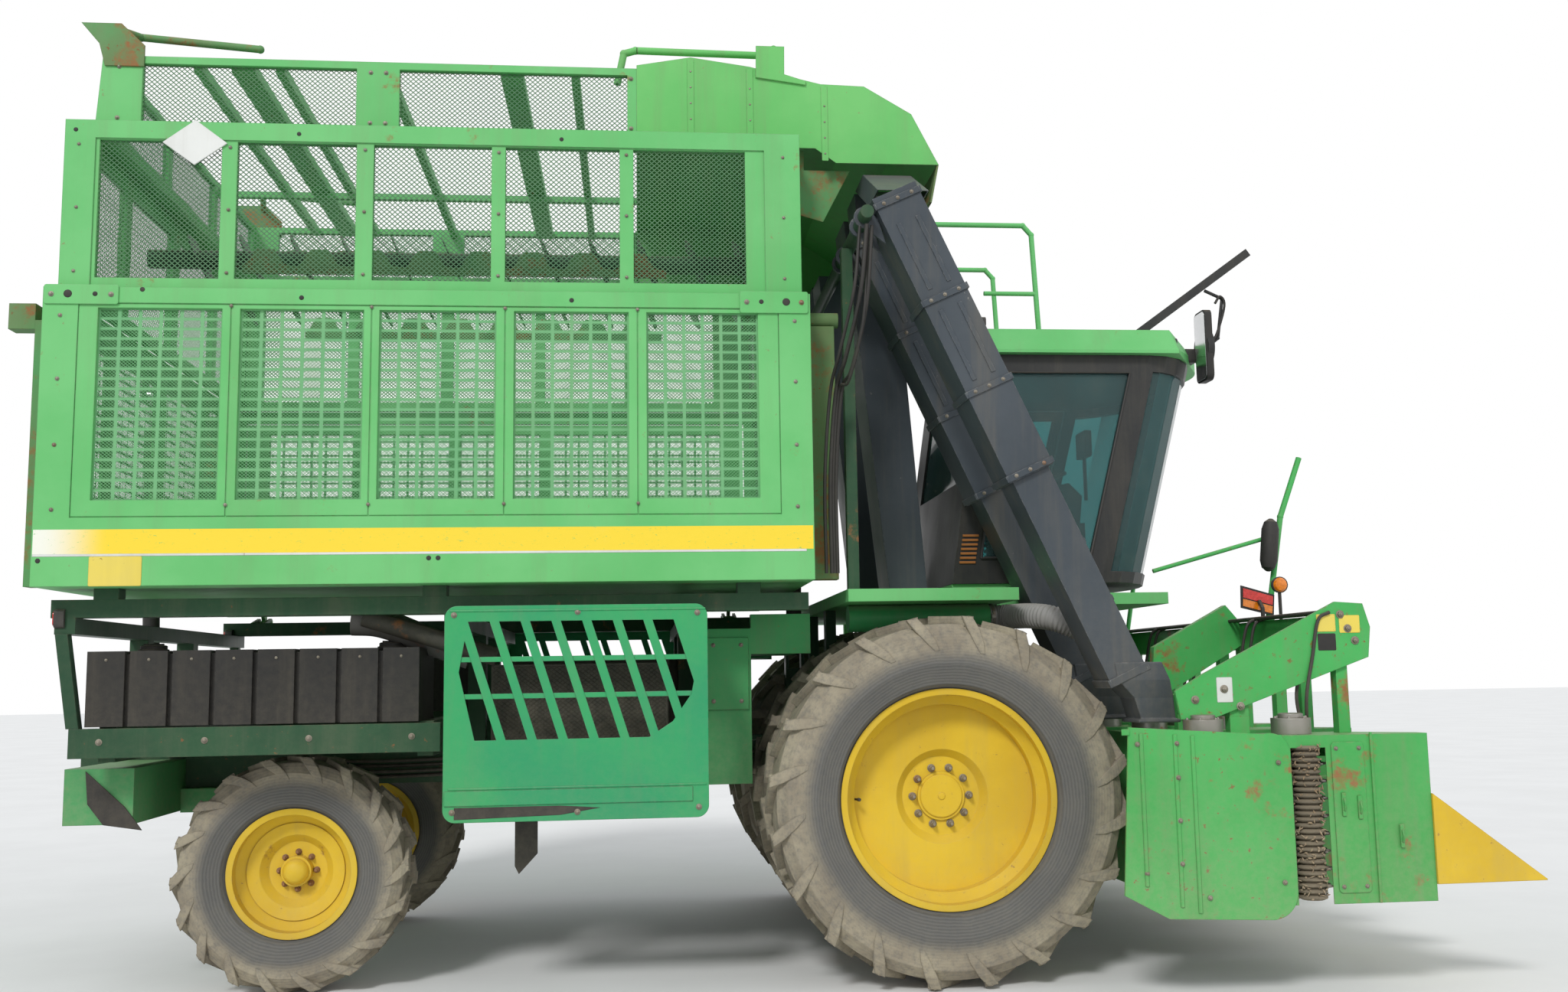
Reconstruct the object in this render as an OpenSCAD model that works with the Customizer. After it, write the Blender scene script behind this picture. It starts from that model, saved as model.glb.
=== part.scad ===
// Six-row self-propelled cotton picker with a dumping basket.
// Millimetres. +X forward, +Y to the machine's left, +Z up. The origin is on the
// ground, under the middle of the overall length. Stations along X are counted from
// the front axle, and stationed() moves every sub-part into the part's frame.

/* [Layout] */
// Distance between the front and the rear axle
wheelbase = 3350; // [3300:10:3400]
// Distance between neighbouring crop rows
row_pitch = 762; // [755:1:770]
// Rear face of the basket's rear lift bracket, behind the front axle
rear_reach = 4782; // [4760:1:4850]
// Tip of the crop dividers, ahead of the front axle
front_reach = 2803; // [2700:1:2900]

/* [Wheels] */
// Radius of a front tyre over its lugs
front_tyre_r = 935; // [915:1:945]
// Section width of a front tyre
front_tyre_w = 500; // [460:1:510]
// Radius of the front rim's flange
front_rim_r = 558; // [540:1:570]
// Radius of a rear tyre over its lugs
rear_tyre_r = 600; // [580:1:610]
// Section width of a rear tyre
rear_tyre_w = 378; // [340:1:390]
// Radius of the rear rim's flange
rear_rim_r = 330; // [310:1:340]
// Height of the front tyre's lugs
front_lug_h = 40; // [25:1:50]
// Height of the rear tyre's lugs
rear_lug_h = 26; // [15:1:30]
// Middle of a rear tyre from the machine's centre plane
rear_track_half = 1090; // [1080:1:1110]
// Bolts round a front hub
front_bolts = 10; // [6:1:12]
// Bolts round a rear hub
rear_bolts = 8; // [6:1:10]

/* [Chassis] */
// Outer face of a main rail from the centre plane
rail_y = 480; // [470:1:490]
// Width of a main rail
rail_w = 100; // [90:1:110]
// Underside of the main rails
rail_z = 1000; // [990:1:1010]
// Height of the main rails
rail_h = 200; // [190:1:205]
// Top of the basket stand
stand_z = 2000; // [1990:1:2010]
// Top of the cab platform
deck_z = 2020; // [2015:1:2030]
// Height of the basket's dumping hinge
hinge_z = 2000; // [1990:1:2010]

/* [Basket] */
// Rear face of the basket, behind the front axle
basket_rear = 4500; // [4450:5:4520]
// Front face of the basket, behind the front axle
basket_front = 674; // [670:1:690]
// Half the width of the lower tier
basket_half_w = 1750; // [1730:5:1760]
// Half the width of the middle tier
mid_half_w = 1700; // [1660:5:1705]
// Half the width of the top tier and the hood
top_half_w = 1500; // [1450:5:1540]
// Underside of the basket
basket_z = 2055; // [2050:1:2065]
// Top of the lower tier
lower_top = 3546; // [3500:1:3560]
// Top of the middle tier
mid_top = 4430; // [4410:1:4440]
// Top of the top tier
top_top = 4860; // [4840:1:4870]
// Depth of the side frames
frame_d = 45; // [35:1:50]
// Thickness of the sheet metal
sheet = 4; // [3:0.5:6]

/* [Cab] */
// Half the width of the cab
cab_half_w = 820; // [800:5:830]
// Top of the cab's mounting frame
cab_floor = 2083; // [2080:1:2090]
// Underside of the roof
cab_roof_z = 3440; // [3420:1:3450]
// Thickness of the cab's wall sections
cab_wall = 45; // [40:1:55]

/* [Ducts] */
// Lean of the slanted ducts from upright
duct_lean = 24.5; // [24:0.5:25]
// Depth of an upper duct, square to its length
upper_duct_d = 250; // [240:1:260]
// Width of an upper duct across the machine
upper_duct_w = 290; // [280:1:300]
// Depth of a lower duct, square to its length
lower_duct_d = 205; // [190:1:215]
// Width of a lower duct across the machine
lower_duct_w = 245; // [230:1:260]
// Thickness of the duct walls
duct_wall = 6; // [4:1:8]

/* [Header] */
// Height of the lift arms' chassis pivots
lift_pivot_z = 1600; // [1590:1:1610]
// Length of a lift arm between its pins
lift_arm_l = 880; // [870:1:890]
// Droop of the lift arms below level, with the header down
lift_droop = 14.5; // [14:0.5:15]
// Underside of the row units
unit_z = 450; // [430:1:470]
// Top of the row units
unit_top = 1245; // [1230:1:1250]
// Width of a row unit's cabinet
unit_w = 345; // [330:1:350]
// Clear space between a crop row and the cabinet beside it
row_gap = 50; // [45:1:60]

/* [Hidden] */
$fn = 48;

green = [0.20, 0.52, 0.20];
dark_green = [0.09, 0.28, 0.13];
shield_green = [0.06, 0.50, 0.28];
yellow = [0.93, 0.76, 0.06];
black = [0.07, 0.07, 0.08];
tyre_grey = [0.16, 0.15, 0.14];
steel = [0.45, 0.46, 0.47];
glass_tint = [0.35, 0.62, 0.62, 0.4];

// Station of the front axle in the part's frame
axle_x = (rear_reach - front_reach) / 2;
// Radial gap between a pin and its bore
pin_gap = 0.3;
// Seam left where one welded member meets the next
weld = 0.3;
// What a ball corner stands proud of its rods
bend_lip = 2;

module stationed(paint) {
    color(paint) translate([axle_x, 0, 0]) children();
}

// A box between two corners
module bar(low, high) {
    translate(low) cube(high - low);
}

// The same piece on both sides of the machine
module both() {
    children();
    mirror([0, 1, 0]) children();
}

// An outline in X and Z, made thick across the machine from y towards +Y
module side_plate(y, thick) {
    translate([0, y + thick, 0]) rotate([90, 0, 0]) linear_extrude(thick) children();
}

// An outline in Y and Z, made thick along X from x forward
module end_plate(x, thick) {
    translate([x, 0, 0]) rotate([90, 0, 90]) linear_extrude(thick) children();
}

// A round rod from point a to point b
module rod(a, b, r) {
    v = b - a;
    l = norm(v);
    translate(a) rotate([0, acos(v.z / l), atan2(v.y, v.x)]) cylinder(r = r, h = l);
}

// A round rod through a list of points, with ball corners
module bent_rod(points, r) {
    for (i = [1 : len(points) - 1]) rod(points[i - 1], points[i], r);
    if (len(points) > 2) for (i = [1 : len(points) - 2]) translate(points[i]) sphere(r + bend_lip);
}

// A square tube in a side plane, from a to b as [x, z], centred on y
module strut(a, b, y, d) {
    v = b - a;
    translate([a.x, y, a.y]) rotate([0, atan2(v.x, v.y), 0])
        translate([-d / 2, -d / 2, 0]) cube([d, d, norm(v)]);
}

// A rounded rectangle from low to high
module panel_2d(low, high, r) {
    x = [low.x + r, high.x - r];
    z = [low.y + r, high.y - r];
    translate([x[0], low.y]) square([x[1] - x[0], high.y - low.y]);
    translate([low.x, z[0]]) square([high.x - low.x, z[1] - z[0]]);
    for (cx = x, cz = z) translate([cx, cz]) circle(r);
}

// The frame: rails, cross members and the stand that carries the basket
rail_in = rail_y - rail_w;
rail_top = rail_z + rail_h;
rail_ends = [-4680, 640];
cross_x = [-4570, -2700, -1150, 500];
stand_rail_y = [1480, 1580];
stand_rail_h = 90;
stand_cross_h = 80;
stand_cross_x = [-4390, -2500, -1290];
stand_x = [-4460, -690];
hinge_y = basket_half_w + 50;
hinge_r = 25;
hinge_x = [-4260, -2640, -900];
rest_x = [-4200, -2600, -1000];
tray_x = [-4345, -2560];
tray_z = [rail_top, 1366];
tray_y = [1540, 1600];
tilt_pin = [400, 1750];
tilt_pin_r = 20;
tilt_x = [-560, -4600];
lift_pivot_x = 400;
lift_pin_r = 35;
lift_arm_y = [300, 370];
mast_x = [-460, -400];
mast_y = 1420;
duct_pivot = [-400, 3920];
duct_pivot_r = 35;

module rails() {
    both() bar([rail_ends[0], rail_in, rail_z], [rail_ends[1], rail_y, rail_top]);
    for (x = cross_x)
        bar([x - 60, -rail_in + weld, rail_z + 20], [x + 60, rail_in - weld, rail_top - 20]);
}

module stand() {
    side_z = stand_z - stand_rail_h;
    for (x = stand_cross_x) {
        bar([x - 50, -stand_rail_y[1], side_z - stand_cross_h], [x + 50, stand_rail_y[1], side_z]);
        both() bar([x - 50, rail_in, rail_top + weld], [x + 50, rail_y, side_z - stand_cross_h - weld]);
    }
    both() bar([stand_x[0], stand_rail_y[0], side_z + weld], [stand_x[1], stand_rail_y[1], stand_z]);
    // Pads that the basket's right side rests on
    for (x = rest_x)
        bar([x - 60, -stand_rail_y[1], stand_z + weld], [x + 60, -stand_rail_y[0], basket_z - weld]);
}

// Ears that carry the basket's hinge pins
module hinge_ears() {
    ear = 20;
    for (x = hinge_x, s = [-1, 1]) translate([x + s * 40, 0, 0]) difference() {
        end_plate(-ear / 2, ear) {
            translate([hinge_y, hinge_z]) circle(45);
            polygon([[stand_rail_y[1] + weld, stand_z - stand_rail_h], [stand_rail_y[1] + weld, stand_z],
                [hinge_y - 20, hinge_z + 40], [hinge_y + 44, hinge_z - 10], [hinge_y + 20, hinge_z - 40]]);
        }
        translate([-ear, hinge_y, hinge_z]) rotate([0, 90, 0]) cylinder(r = hinge_r + pin_gap, h = 2 * ear);
    }
}

// Mast and pin that carry the lower end of a basket cylinder
module tilt_mast(x) {
    cheek_z = tilt_pin.y - 130;
    bar([x - 60, rail_in, rail_top + weld], [x + 60, rail_y - 30, cheek_z]);
    bar([x - 60, tilt_pin.x - 50, cheek_z - 60], [x + 60, rail_in - weld, cheek_z]);
    for (s = [-1, 1]) bar([x + s * 50 - 10, tilt_pin.x - 50, cheek_z + weld],
        [x + s * 50 + 10, tilt_pin.x + 50, cheek_z + 160]);
    translate([x - 40, tilt_pin.x, tilt_pin.y]) rotate([0, 90, 0]) cylinder(r = tilt_pin_r, h = 80);
}

// Plates in front that the header's lift arms turn on, with the deck's legs on top
module lift_tower() {
    top = lift_pivot_z + 60;
    both() {
        difference() {
            side_plate(rail_in, rail_w) polygon([[lift_pivot_x - 330, rail_top + weld],
                [rail_ends[1], rail_top + weld],
                [lift_pivot_x + 70, top], [lift_pivot_x - 60, top]]);
            translate([lift_pivot_x, rail_in - 1, lift_pivot_z]) rotate([-90, 0, 0])
                cylinder(r = lift_pin_r + pin_gap, h = rail_w + 2);
        }
        bar([lift_pivot_x - 60, rail_in, top + weld], [lift_pivot_x + 60, rail_y, deck_z - deck_t]);
        bar([mast_x[0], rail_in, rail_top + weld], [mast_x[1], rail_y, deck_z - deck_t]);
    }
}

// Ears for the lift cylinders, on the front cross member
module lift_cylinder_ears() {
    for (y = lift_cyl_y, s = [-1, 1]) difference() {
        side_plate(y + s * 36 - 6, 12) {
            translate(lift_base) circle(32);
            polygon([[cross_x[3] - 40, rail_top - 20 + weld], [lift_base.x - 32, lift_base.y + 30],
                [lift_base.x + 32, lift_base.y], [cross_x[3] + 60 + weld, rail_z + 60],
                [cross_x[3] + 60 + weld, rail_top - 20 + weld]]);
        }
        translate([lift_base.x, y + s * 36 - 10, lift_base.y]) rotate([-90, 0, 0])
            cylinder(r = 16 + pin_gap, h = 20);
    }
}

// Tray rails under the ribbed tanks, and the rear corner posts
module tank_tray() {
    post_top = stand_z - stand_rail_h - stand_cross_h - weld;
    for (x = [-4180, -2640])
        bar([x - 40, -tray_y[0] + weld, tray_z[0] + weld], [x + 40, tray_y[0] - weld, tank_z[0]]);
    both() {
        bar([tray_x[0], tray_y[0], tray_z[0] + 22], [tray_x[1], tray_y[1], tray_z[1]]);
        side_plate(tray_y[0] + 3, 54) polygon([[-4430, post_top], [-4370, post_top],
            [-4300, tray_z[1] + weld], [-4360, tray_z[1] + weld]]);
    }
}

// Masts behind the cab with the tube that the ducts hang on
module duct_masts() {
    both() bar([mast_x[0], mast_y - 30, deck_z],
        [mast_x[1], mast_y + 30, duct_pivot.y - duct_pivot_r - weld]);
    rod([duct_pivot.x, -1990, duct_pivot.y], [duct_pivot.x, 2110, duct_pivot.y], duct_pivot_r);
}

module frame() stationed(dark_green) {
    rails();
    stand();
    hinge_ears();
    for (x = tilt_x) tilt_mast(x);
    lift_tower();
    lift_cylinder_ears();
    tank_tray();
    duct_masts();
}

// Axles
axle_h = 200;
final_r = 120;
king_y = 770;
king_r = 30;
king_z = [500, 800];
eye_z = [560, 740];
eye_r = 75;
hub_gap = 2;

module axles() stationed(dark_green) {
    bar([-150, -rail_y, rail_z - axle_h], [150, rail_y, rail_z]);
    both() translate([0, rail_y + weld, front_tyre_r]) rotate([-90, 0, 0])
        cylinder(r = final_r, h = 110 - weld);
    translate([-wheelbase, 0, 0]) {
        bar([-90, -king_y + eye_r, eye_z[0]], [90, king_y - eye_r, eye_z[1]]);
        bar([-150, -200, eye_z[1] + weld], [150, 200, rail_z + 20 - weld]);
        bar([-150, -rail_in, rail_z + 20], [150, rail_in, rail_top - 20]);
        both() difference() {
            union() {
                translate([0, king_y, eye_z[0]]) cylinder(r = eye_r, h = eye_z[1] - eye_z[0]);
                bar([-eye_r, king_y - eye_r + weld, eye_z[0]], [eye_r, king_y, eye_z[1]]);
            }
            translate([0, king_y, eye_z[0] - 1]) cylinder(r = king_r + pin_gap, h = 200);
        }
    }
}

// Engine block with its cooler and the exhaust pipe
module engine() stationed(black) {
    bar([-2300, -rail_in, rail_z + 40], [-1240, rail_in, 1700]);
    both() bar([-2250, rail_in, rail_top], [-1400, rail_y + 300, 1700]);
    bar([-2330, -1400, rail_top], [-1420, -rail_y - 300, 1650]);
    rod([-2300, -1400, 1690], [-2980, -1400, 1905], 48);
}

// Shields over the engine bay
shield_x = [-2515, -1230];
shield_z = [890, 1935];
shield_y = [1600, 1840];
shield_r = 60;
slot_top = 1857;
slot_pitch = 150;
slot_w = 104;
slot_lean = 186;
slots = [-1 : 6];
ridge_z = 1040;
// Corners of the field that the slots are cut in, from the top left round by the bottom
slot_field = [[-2402, slot_top], [-2444, 1611], [-2366, 1281], [-1521, 1283], [-1405, 1357], [-1312, 1490],
    [-1296, 1570], [-1387, slot_top]];

module shield_slots() {
    side_plate(shield_y[1] - 2 * sheet, 3 * sheet) intersection() {
        polygon(slot_field);
        for (i = slots) {
            x = slot_field[0].x + i * slot_pitch;
            polygon([[x, slot_top], [x + slot_w, slot_top], [x + slot_w + slot_lean, slot_field[2].y],
                [x + slot_lean, slot_field[2].y]]);
        }
    }
}

module shield() {
    difference() {
        side_plate(shield_y[0], shield_y[1] - shield_y[0])
            panel_2d([shield_x[0], shield_z[0]], [shield_x[1], shield_z[1]], shield_r);
        side_plate(shield_y[0] - 1, shield_y[1] - shield_y[0] - sheet + 1)
            panel_2d([shield_x[0] + sheet, shield_z[0] + sheet],
                [shield_x[1] - sheet, shield_z[1] - sheet], shield_r - sheet);
        shield_slots();
    }
    bar([shield_x[0] + 2 * sheet, shield_y[1] - sheet, ridge_z - 70],
        [shield_x[1] - 80, shield_y[1] + 6, ridge_z]);
    // Bars behind the slots, and brackets to the stand
    for (z = [1480, 1660]) bar([shield_x[0] + sheet, shield_y[1] - 40, z],
        [shield_x[1] - sheet, shield_y[1] - sheet, z + 25]);
    for (x = [shield_x[0] + 60, shield_x[1] - 100])
        bar([x, stand_rail_y[1], stand_z - stand_rail_h], [x + 40, shield_y[1] - sheet, shield_z[1] - sheet]);
}

module engine_shields() stationed(shield_green) both() shield();

// Cabinets between the shields and the front wheels, the rear side tanks, and the air tube
tube_y = -1110;
tube_r = 75;
tube_z = 1878;

module body_panels() stationed(dark_green) {
    both() {
        bar([-1225, rail_y, rail_z], [-965, 1200, 1829]);
        bar([-965, 1130, 1690], [-640, 1200, 1905]);
        bar([-1210, 1200, 1395], [-980, 1212, 1780]);
        bar([-965, rail_y, 1690], [-700, 1130, 1720]);
        bar([-4450, rail_y, 880], [-4110, 1340, 1160]);
    }
    bar([-4110, -560, 870], [-3620, 560, rail_z]);
    rod([-420, tube_y, tube_z], [370, tube_y, tube_z], tube_r);
}

// Ribbed tanks on the trays
tank_x = [-4283, -2655];
tank_z = [1374, 1743];
tank_y = [1080, 1600];
tank_ribs = 8;

module ribbed_tanks() stationed(black) both() {
    pitch = (tank_x[1] - tank_x[0]) / tank_ribs;
    bar([tank_x[0] + 10, tank_y[0], tank_z[0]], [tank_x[1] - 10, tank_y[1] - 25, tank_z[1] - 15]);
    for (i = [0 : tank_ribs - 1])
        bar([tank_x[0] + i * pitch + 12, tank_y[0] + 20, tank_z[0]],
            [tank_x[0] + (i + 1) * pitch - 12, tank_y[1], tank_z[1]]);
}

// Cab. Its rear wall and its windscreen lean, so stations depend on the height
cab_bow = 450;
function cab_rear(z) = 239 + (z - cab_floor) * 0.155;
function cab_front(z) = 1125 + (z - cab_floor) * 0.262;

// Plan of the cab at height z, drawn in by t
module cab_plan(z, t) {
    x0 = cab_rear(z) + t;
    x1 = cab_front(z) - t;
    w = cab_half_w - t;
    steps = 12;
    polygon(concat([[x0, -w], [x1, -w]],
        [for (i = [1 : steps - 1]) let (a = -90 + 180 * i / steps) [x1 + cab_bow * cos(a), w * sin(a)]],
        [[x1, w], [x0, w]]));
}

module cab_solid(t, z0, z1) {
    hull() {
        translate([0, 0, z0]) linear_extrude(1) cab_plan(z0, t);
        translate([0, 0, z1 - 1]) linear_extrude(1) cab_plan(z1, t);
    }
}

glass_z = [2230, 3330];
door_z = [2150, 3390];
door_gap = 6;
// Room under the door, which dips as it swings about its leaning hinge
door_dip = 9;
door_axis_y = cab_half_w + 16;
door_knuckles = [2300, 3200];

// A leaning outline between the rear and the front posts, drawn in by a and b
function cab_outline(z, a, b) = [[cab_rear(z[0]) + a, z[0]], [cab_front(z[0]) - b, z[0]],
    [cab_front(z[1]) - b, z[1]], [cab_rear(z[1]) + a, z[1]]];

module window_cutters() {
    side_plate(-cab_half_w - 10, 2 * cab_half_w + 20) polygon(cab_outline(glass_z, 150, 100));
    side_plate(-cab_half_w - 10, 2 * cab_half_w + 20) polygon([[cab_front(2150) + 45, 2150],
        [cab_front(2150) + 900, 2150], [cab_front(3340) + 900, 3340], [cab_front(3340) + 45, 3340]]);
    bar([100, -560, 2700], [650, 560, 3330]);
}

// The doorway in the left wall, made larger by t
module door_cut(t) {
    side_plate(cab_half_w - cab_wall - 30, cab_wall + 60)
        polygon(cab_outline([door_z[0] - t - (t > 0 ? door_dip : 0), door_z[1] + t], 90 - t, 40 - t));
}

// A barrel of the door's hinge, from height z to z + h
module door_barrel(z, h) {
    a = atan(0.155);
    translate([cab_rear(z) + 87, door_axis_y, z]) rotate([0, a, 0]) cylinder(r = 12, h = h);
}

module cab_frame() stationed(black) {
    difference() {
        cab_solid(0, cab_floor, cab_roof_z);
        cab_solid(cab_wall, cab_floor + 40, cab_roof_z - 40);
        window_cutters();
        door_cut(door_gap);
    }
    bar([1080, -180, cab_floor + 40], [1240, 180, 2500]);
    rod([1120, 0, 2495], [1000, 0, 2720], 20);
    for (z = door_knuckles) {
        door_barrel(z, 40);
        bar([cab_rear(z) + 40, cab_half_w - 5, z], [cab_rear(z) + 77, door_axis_y + 5, z + 36]);
    }
}

module cab_glass() stationed(glass_tint) {
    intersection() {
        difference() {
            cab_solid(12, cab_floor + 1, cab_roof_z - 1);
            cab_solid(18, cab_floor, cab_roof_z);
        }
        difference() {
            window_cutters();
            door_cut(door_gap);
        }
    }
}

module cab_door() stationed(black) {
    difference() {
        intersection() {
            difference() {
                cab_solid(0, cab_floor, cab_roof_z);
                cab_solid(cab_wall - 10, cab_floor - 1, cab_roof_z + 1);
            }
            door_cut(0);
        }
        window_cutters();
    }
    for (z = door_knuckles) {
        door_barrel(z + 46, 40);
        bar([cab_rear(z) + 105, cab_half_w - 5, z + 50], [cab_rear(z) + 140, door_axis_y + 5, z + 82]);
    }
}

module cab_door_glass() stationed(glass_tint) {
    intersection() {
        difference() {
            cab_solid(12, cab_floor, cab_roof_z);
            cab_solid(18, cab_floor - 1, cab_roof_z + 1);
        }
        door_cut(0);
        side_plate(-cab_half_w - 10, 2 * cab_half_w + 20) polygon(cab_outline(glass_z, 150, 100));
    }
}

module cab_roof() stationed(green) {
    hull() {
        bar([440, -880, cab_roof_z], [1640, 880, cab_roof_z + 20]);
        bar([480, -840, cab_roof_z + 120], [1600, 840, cab_roof_z + 150]);
        translate([1500, 0, cab_roof_z + 20]) cylinder(r = 540, h = 80);
        translate([1500, 0, cab_roof_z + 120]) cylinder(r = 500, h = 30);
    }
}

module cab_seat() stationed(black) {
    bar([560, -250, 2440], [1000, 250, 2560]);
    bar([480, -240, 2560], [590, 240, 3150]);
    bar([640, -150, cab_floor + 40], [900, 150, 2440]);
}

// Platform round the cab, its ladder, and the rails on the deck and the cab's roof
deck_y = 1500;
deck_t = 67;
deck_x = [-470, 450];
ladder_x = [-440, 20];
ladder_y = [1810, 1960];

module platform() stationed(green) {
    low = deck_z - deck_t;
    bar([deck_x[0], -deck_y, low], [100, deck_y, deck_z]);
    both() bar([100 + weld, 880 + weld, low], [deck_x[1], deck_y, deck_z]);
    bar([100 + weld, -880, low], [1500, 880, deck_z]);
    bar([240, -800, deck_z + weld], [1150, 800, cab_floor]);
    // Ladder outboard of the left tyres
    bar([ladder_x[0], deck_y + weld, low], [ladder_x[1], ladder_y[1], deck_z]);
    for (x = [ladder_x[0], ladder_x[1] - 40])
        bar([x, ladder_y[0] + 50, 700], [x + 40, ladder_y[1] - 50, low - weld]);
    for (z = [720 : 300 : 1720])
        bar([ladder_x[0] + 40 + weld, ladder_y[0], z], [ladder_x[1] - 40 - weld, ladder_y[1], z + 30]);
    // Railing on the cab's roof
    roof = cab_roof_z + 150;
    for (y = [-500, 500]) {
        for (x = [560, 900]) translate([x, y, roof]) cylinder(r = 35, h = 12);
        bent_rod([[900, y, roof + 8], [872, y, 4271], [820, y, 4330], [253, y, 4330], [300, y, 4100],
            [560, y, 3900], [560, y, roof + 8]], 16);
        rod([560, y, 3895], [890, y, 3895], 14);
    }
}

module mirrors() stationed(black) {
    strut([1474, 3612], [2215, 4144], -600, 50);
    bar([1420, -650, cab_roof_z + 150], [1530, -550, cab_roof_z + 185]);
    bent_rod([[1930, -600, 3900], [2040, -600, 3850], [2000, -600, 3600], [1950, -600, 3560]], 10);
    translate([1890, -600, 3530]) rotate([0, 90, 0]) cylinder(r = 120, h = 40);
}

// The hose's route runs outboard, between two slanted ducts
hose_pts = [[370, tube_y, tube_z], [440, tube_y, tube_z], [505, -1165, 1878], [560, -1290, 1875],
    [640, -1410, 1858], [750, -1450, 1815], [880, -1450, 1750]];
hose_r = 68;
hose_sides = 20;

// Direction of the hose at each point of its route, and a ring of points square to it
function hose_dir(i) = let(a = hose_pts[max(i - 1, 0)], b = hose_pts[min(i + 1, len(hose_pts) - 1)])
    (b - a) / norm(b - a);
function hose_ring(i) = let(d = hose_dir(i), u = cross([0, 0, 1], d) / norm(cross([0, 0, 1], d)),
    w = cross(d, u))
    [for (k = [0 : hose_sides - 1]) hose_pts[i] + hose_r * (cos(k * 360 / hose_sides) * u
        + sin(k * 360 / hose_sides) * w)];

// A tube lofted through the rings
module air_hose() stationed(steel) {
    n = hose_sides;
    last = (len(hose_pts) - 1) * n;
    polyhedron(
        points = [for (i = [0 : len(hose_pts) - 1]) each hose_ring(i)],
        faces = concat(
            [[for (k = [n - 1 : -1 : 0]) last + k]],
            [[for (k = [0 : n - 1]) k]],
            [for (i = [0 : len(hose_pts) - 2], k = [0 : n - 1])
                each let(a = i * n + k, b = i * n + (k + 1) % n) [[a, a + n, b + n], [a, b + n, b]]]
        )
    );
}

// Ducts
duct_top = [-200, 3930];
upper_l = [-130, 1495];
lower_l = [1180, 2640];
duct_ys = [-1800, -1100, 1620, 1930];

// A rectangular tube down the slant, from s0 to s1 below duct_top
module slant_tube(y, d, w, t, s0, s1) {
    translate([duct_top.x, y, duct_top.y]) rotate([0, 180 - duct_lean, 0]) difference() {
        translate([-d / 2, -w / 2, s0]) cube([d, w, s1 - s0]);
        translate([-d / 2 + t, -w / 2 + t, s0 - 1]) cube([d - 2 * t, w - 2 * t, s1 - s0 + 2]);
    }
}

nozzle_x = [-335, -68];
nozzle_z = [4050, 4295];
nozzle_w = 140;
function nozzle_y(y) = abs(y) > 1500 ? sign(y) * (abs(y) > 1700 ? 1330 : 1010) : sign(y) * 1010;

// A tube with an outline of four corners in Y and Z, open at its two level ends
module end_plate_tube(x, t, corners) {
    difference() {
        end_plate(x[0], x[1] - x[0]) polygon(corners);
        end_plate(x[0] + t, x[1] - x[0] - 2 * t) polygon([corners[0] + [t, -1], corners[1] + [-t, -1],
            corners[2] + [-t, 1], corners[3] + [t, 1]]);
    }
}

module upper_ducts() stationed(black) {
    for (y = duct_ys) {
        slant_tube(y, upper_duct_d, upper_duct_w, duct_wall, upper_l[0], upper_l[1]);
        // Nozzle that leans inwards under the hood
        n = nozzle_y(y);
        end_plate_tube(nozzle_x, duct_wall, [[y - nozzle_w, nozzle_z[0]], [y + nozzle_w, nozzle_z[0]],
            [n + nozzle_w, nozzle_z[1]], [n - nozzle_w, nozzle_z[1]]]);
        // Ears that hang the duct on the cross tube
        for (s = [-1, 1]) difference() {
            side_plate(y + s * 80 - 8, 16) {
                translate(duct_pivot) circle(55);
                polygon([[duct_pivot.x, duct_pivot.y + 55], [duct_top.x - 130, 3915], [duct_top.x - 90, 3780],
                    [duct_pivot.x, duct_pivot.y - 55]]);
            }
            translate([duct_pivot.x, y + s * 80 - 10, duct_pivot.y]) rotate([-90, 0, 0])
                cylinder(r = duct_pivot_r + pin_gap, h = 20);
        }
    }
}

module lower_ducts() stationed(black) {
    for (y = duct_ys) slant_tube(y, lower_duct_d, lower_duct_w, duct_wall, lower_l[0], lower_l[1]);
}

// A four-sided tube between two level mouths, each as [x0, x1, y0, y1, z]
module mouth_tube(a, b, t) {
    difference() {
        hull() for (m = [a, b]) bar([m[0], m[2], m[4]], [m[1], m[3], m[4] + 1]);
        hull() {
            bar([a[0] + t, a[2] + t, a[4] - 1], [a[1] - t, a[3] - t, a[4]]);
            bar([b[0] + t, b[2] + t, b[4] + 1], [b[1] - t, b[3] - t, b[4] + 2]);
        }
    }
}

module inner_ducts() stationed(black) {
    for (y = [-600, 600]) mouth_tube([-120, 100, y - 180, y + 180, deck_z],
        [-346, -60, y - 180, y + 180, 4250], duct_wall);
}

// Basket. Posts, bands and skirts stand proud of the walls by relief
relief = 8;
panel_x = [[-4237, -3639], [-3552, -2946], [-2869, -2287], [-2197, -1616], [-1524, -949]];
mesh_x = [[-4281, -3680], [-3603, -3008], [-2921, -2322], [-2250, -1661], [-1588, -1001]];
panel_z = [2476, 3441];
mesh_z = [3610, 4330];
front_mesh_z = [3610, 4090];
post_in = [-4330, -840];
skirt_top = 2390;
band_z = 3466;
seam = 6;
end_panel_y = [[-1640, -900], [-820, -60], [60, 820], [900, 1640]];
mesh_t = 3;
door_side = [-basket_rear + 100, -basket_front - 100];
dump_z = [2480, 3460];
dump_gap = 10;
dump_pin = [basket_half_w + 26, dump_z[0]];
dump_pin_r = 10;
dump_lug_r = 20;
dump_hinge_x = [-4200, -3400, -2587, -1770, -960];
dump_panel_z = [2560, 3380];

// Cutters through a side wall, for a row of panels [x0, x1] over the heights zs
module side_windows(y, xs, zs) {
    for (p = xs) bar([p[0], y - 1, zs[0]], [p[1], y + frame_d + 1, zs[1]]);
}

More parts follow.
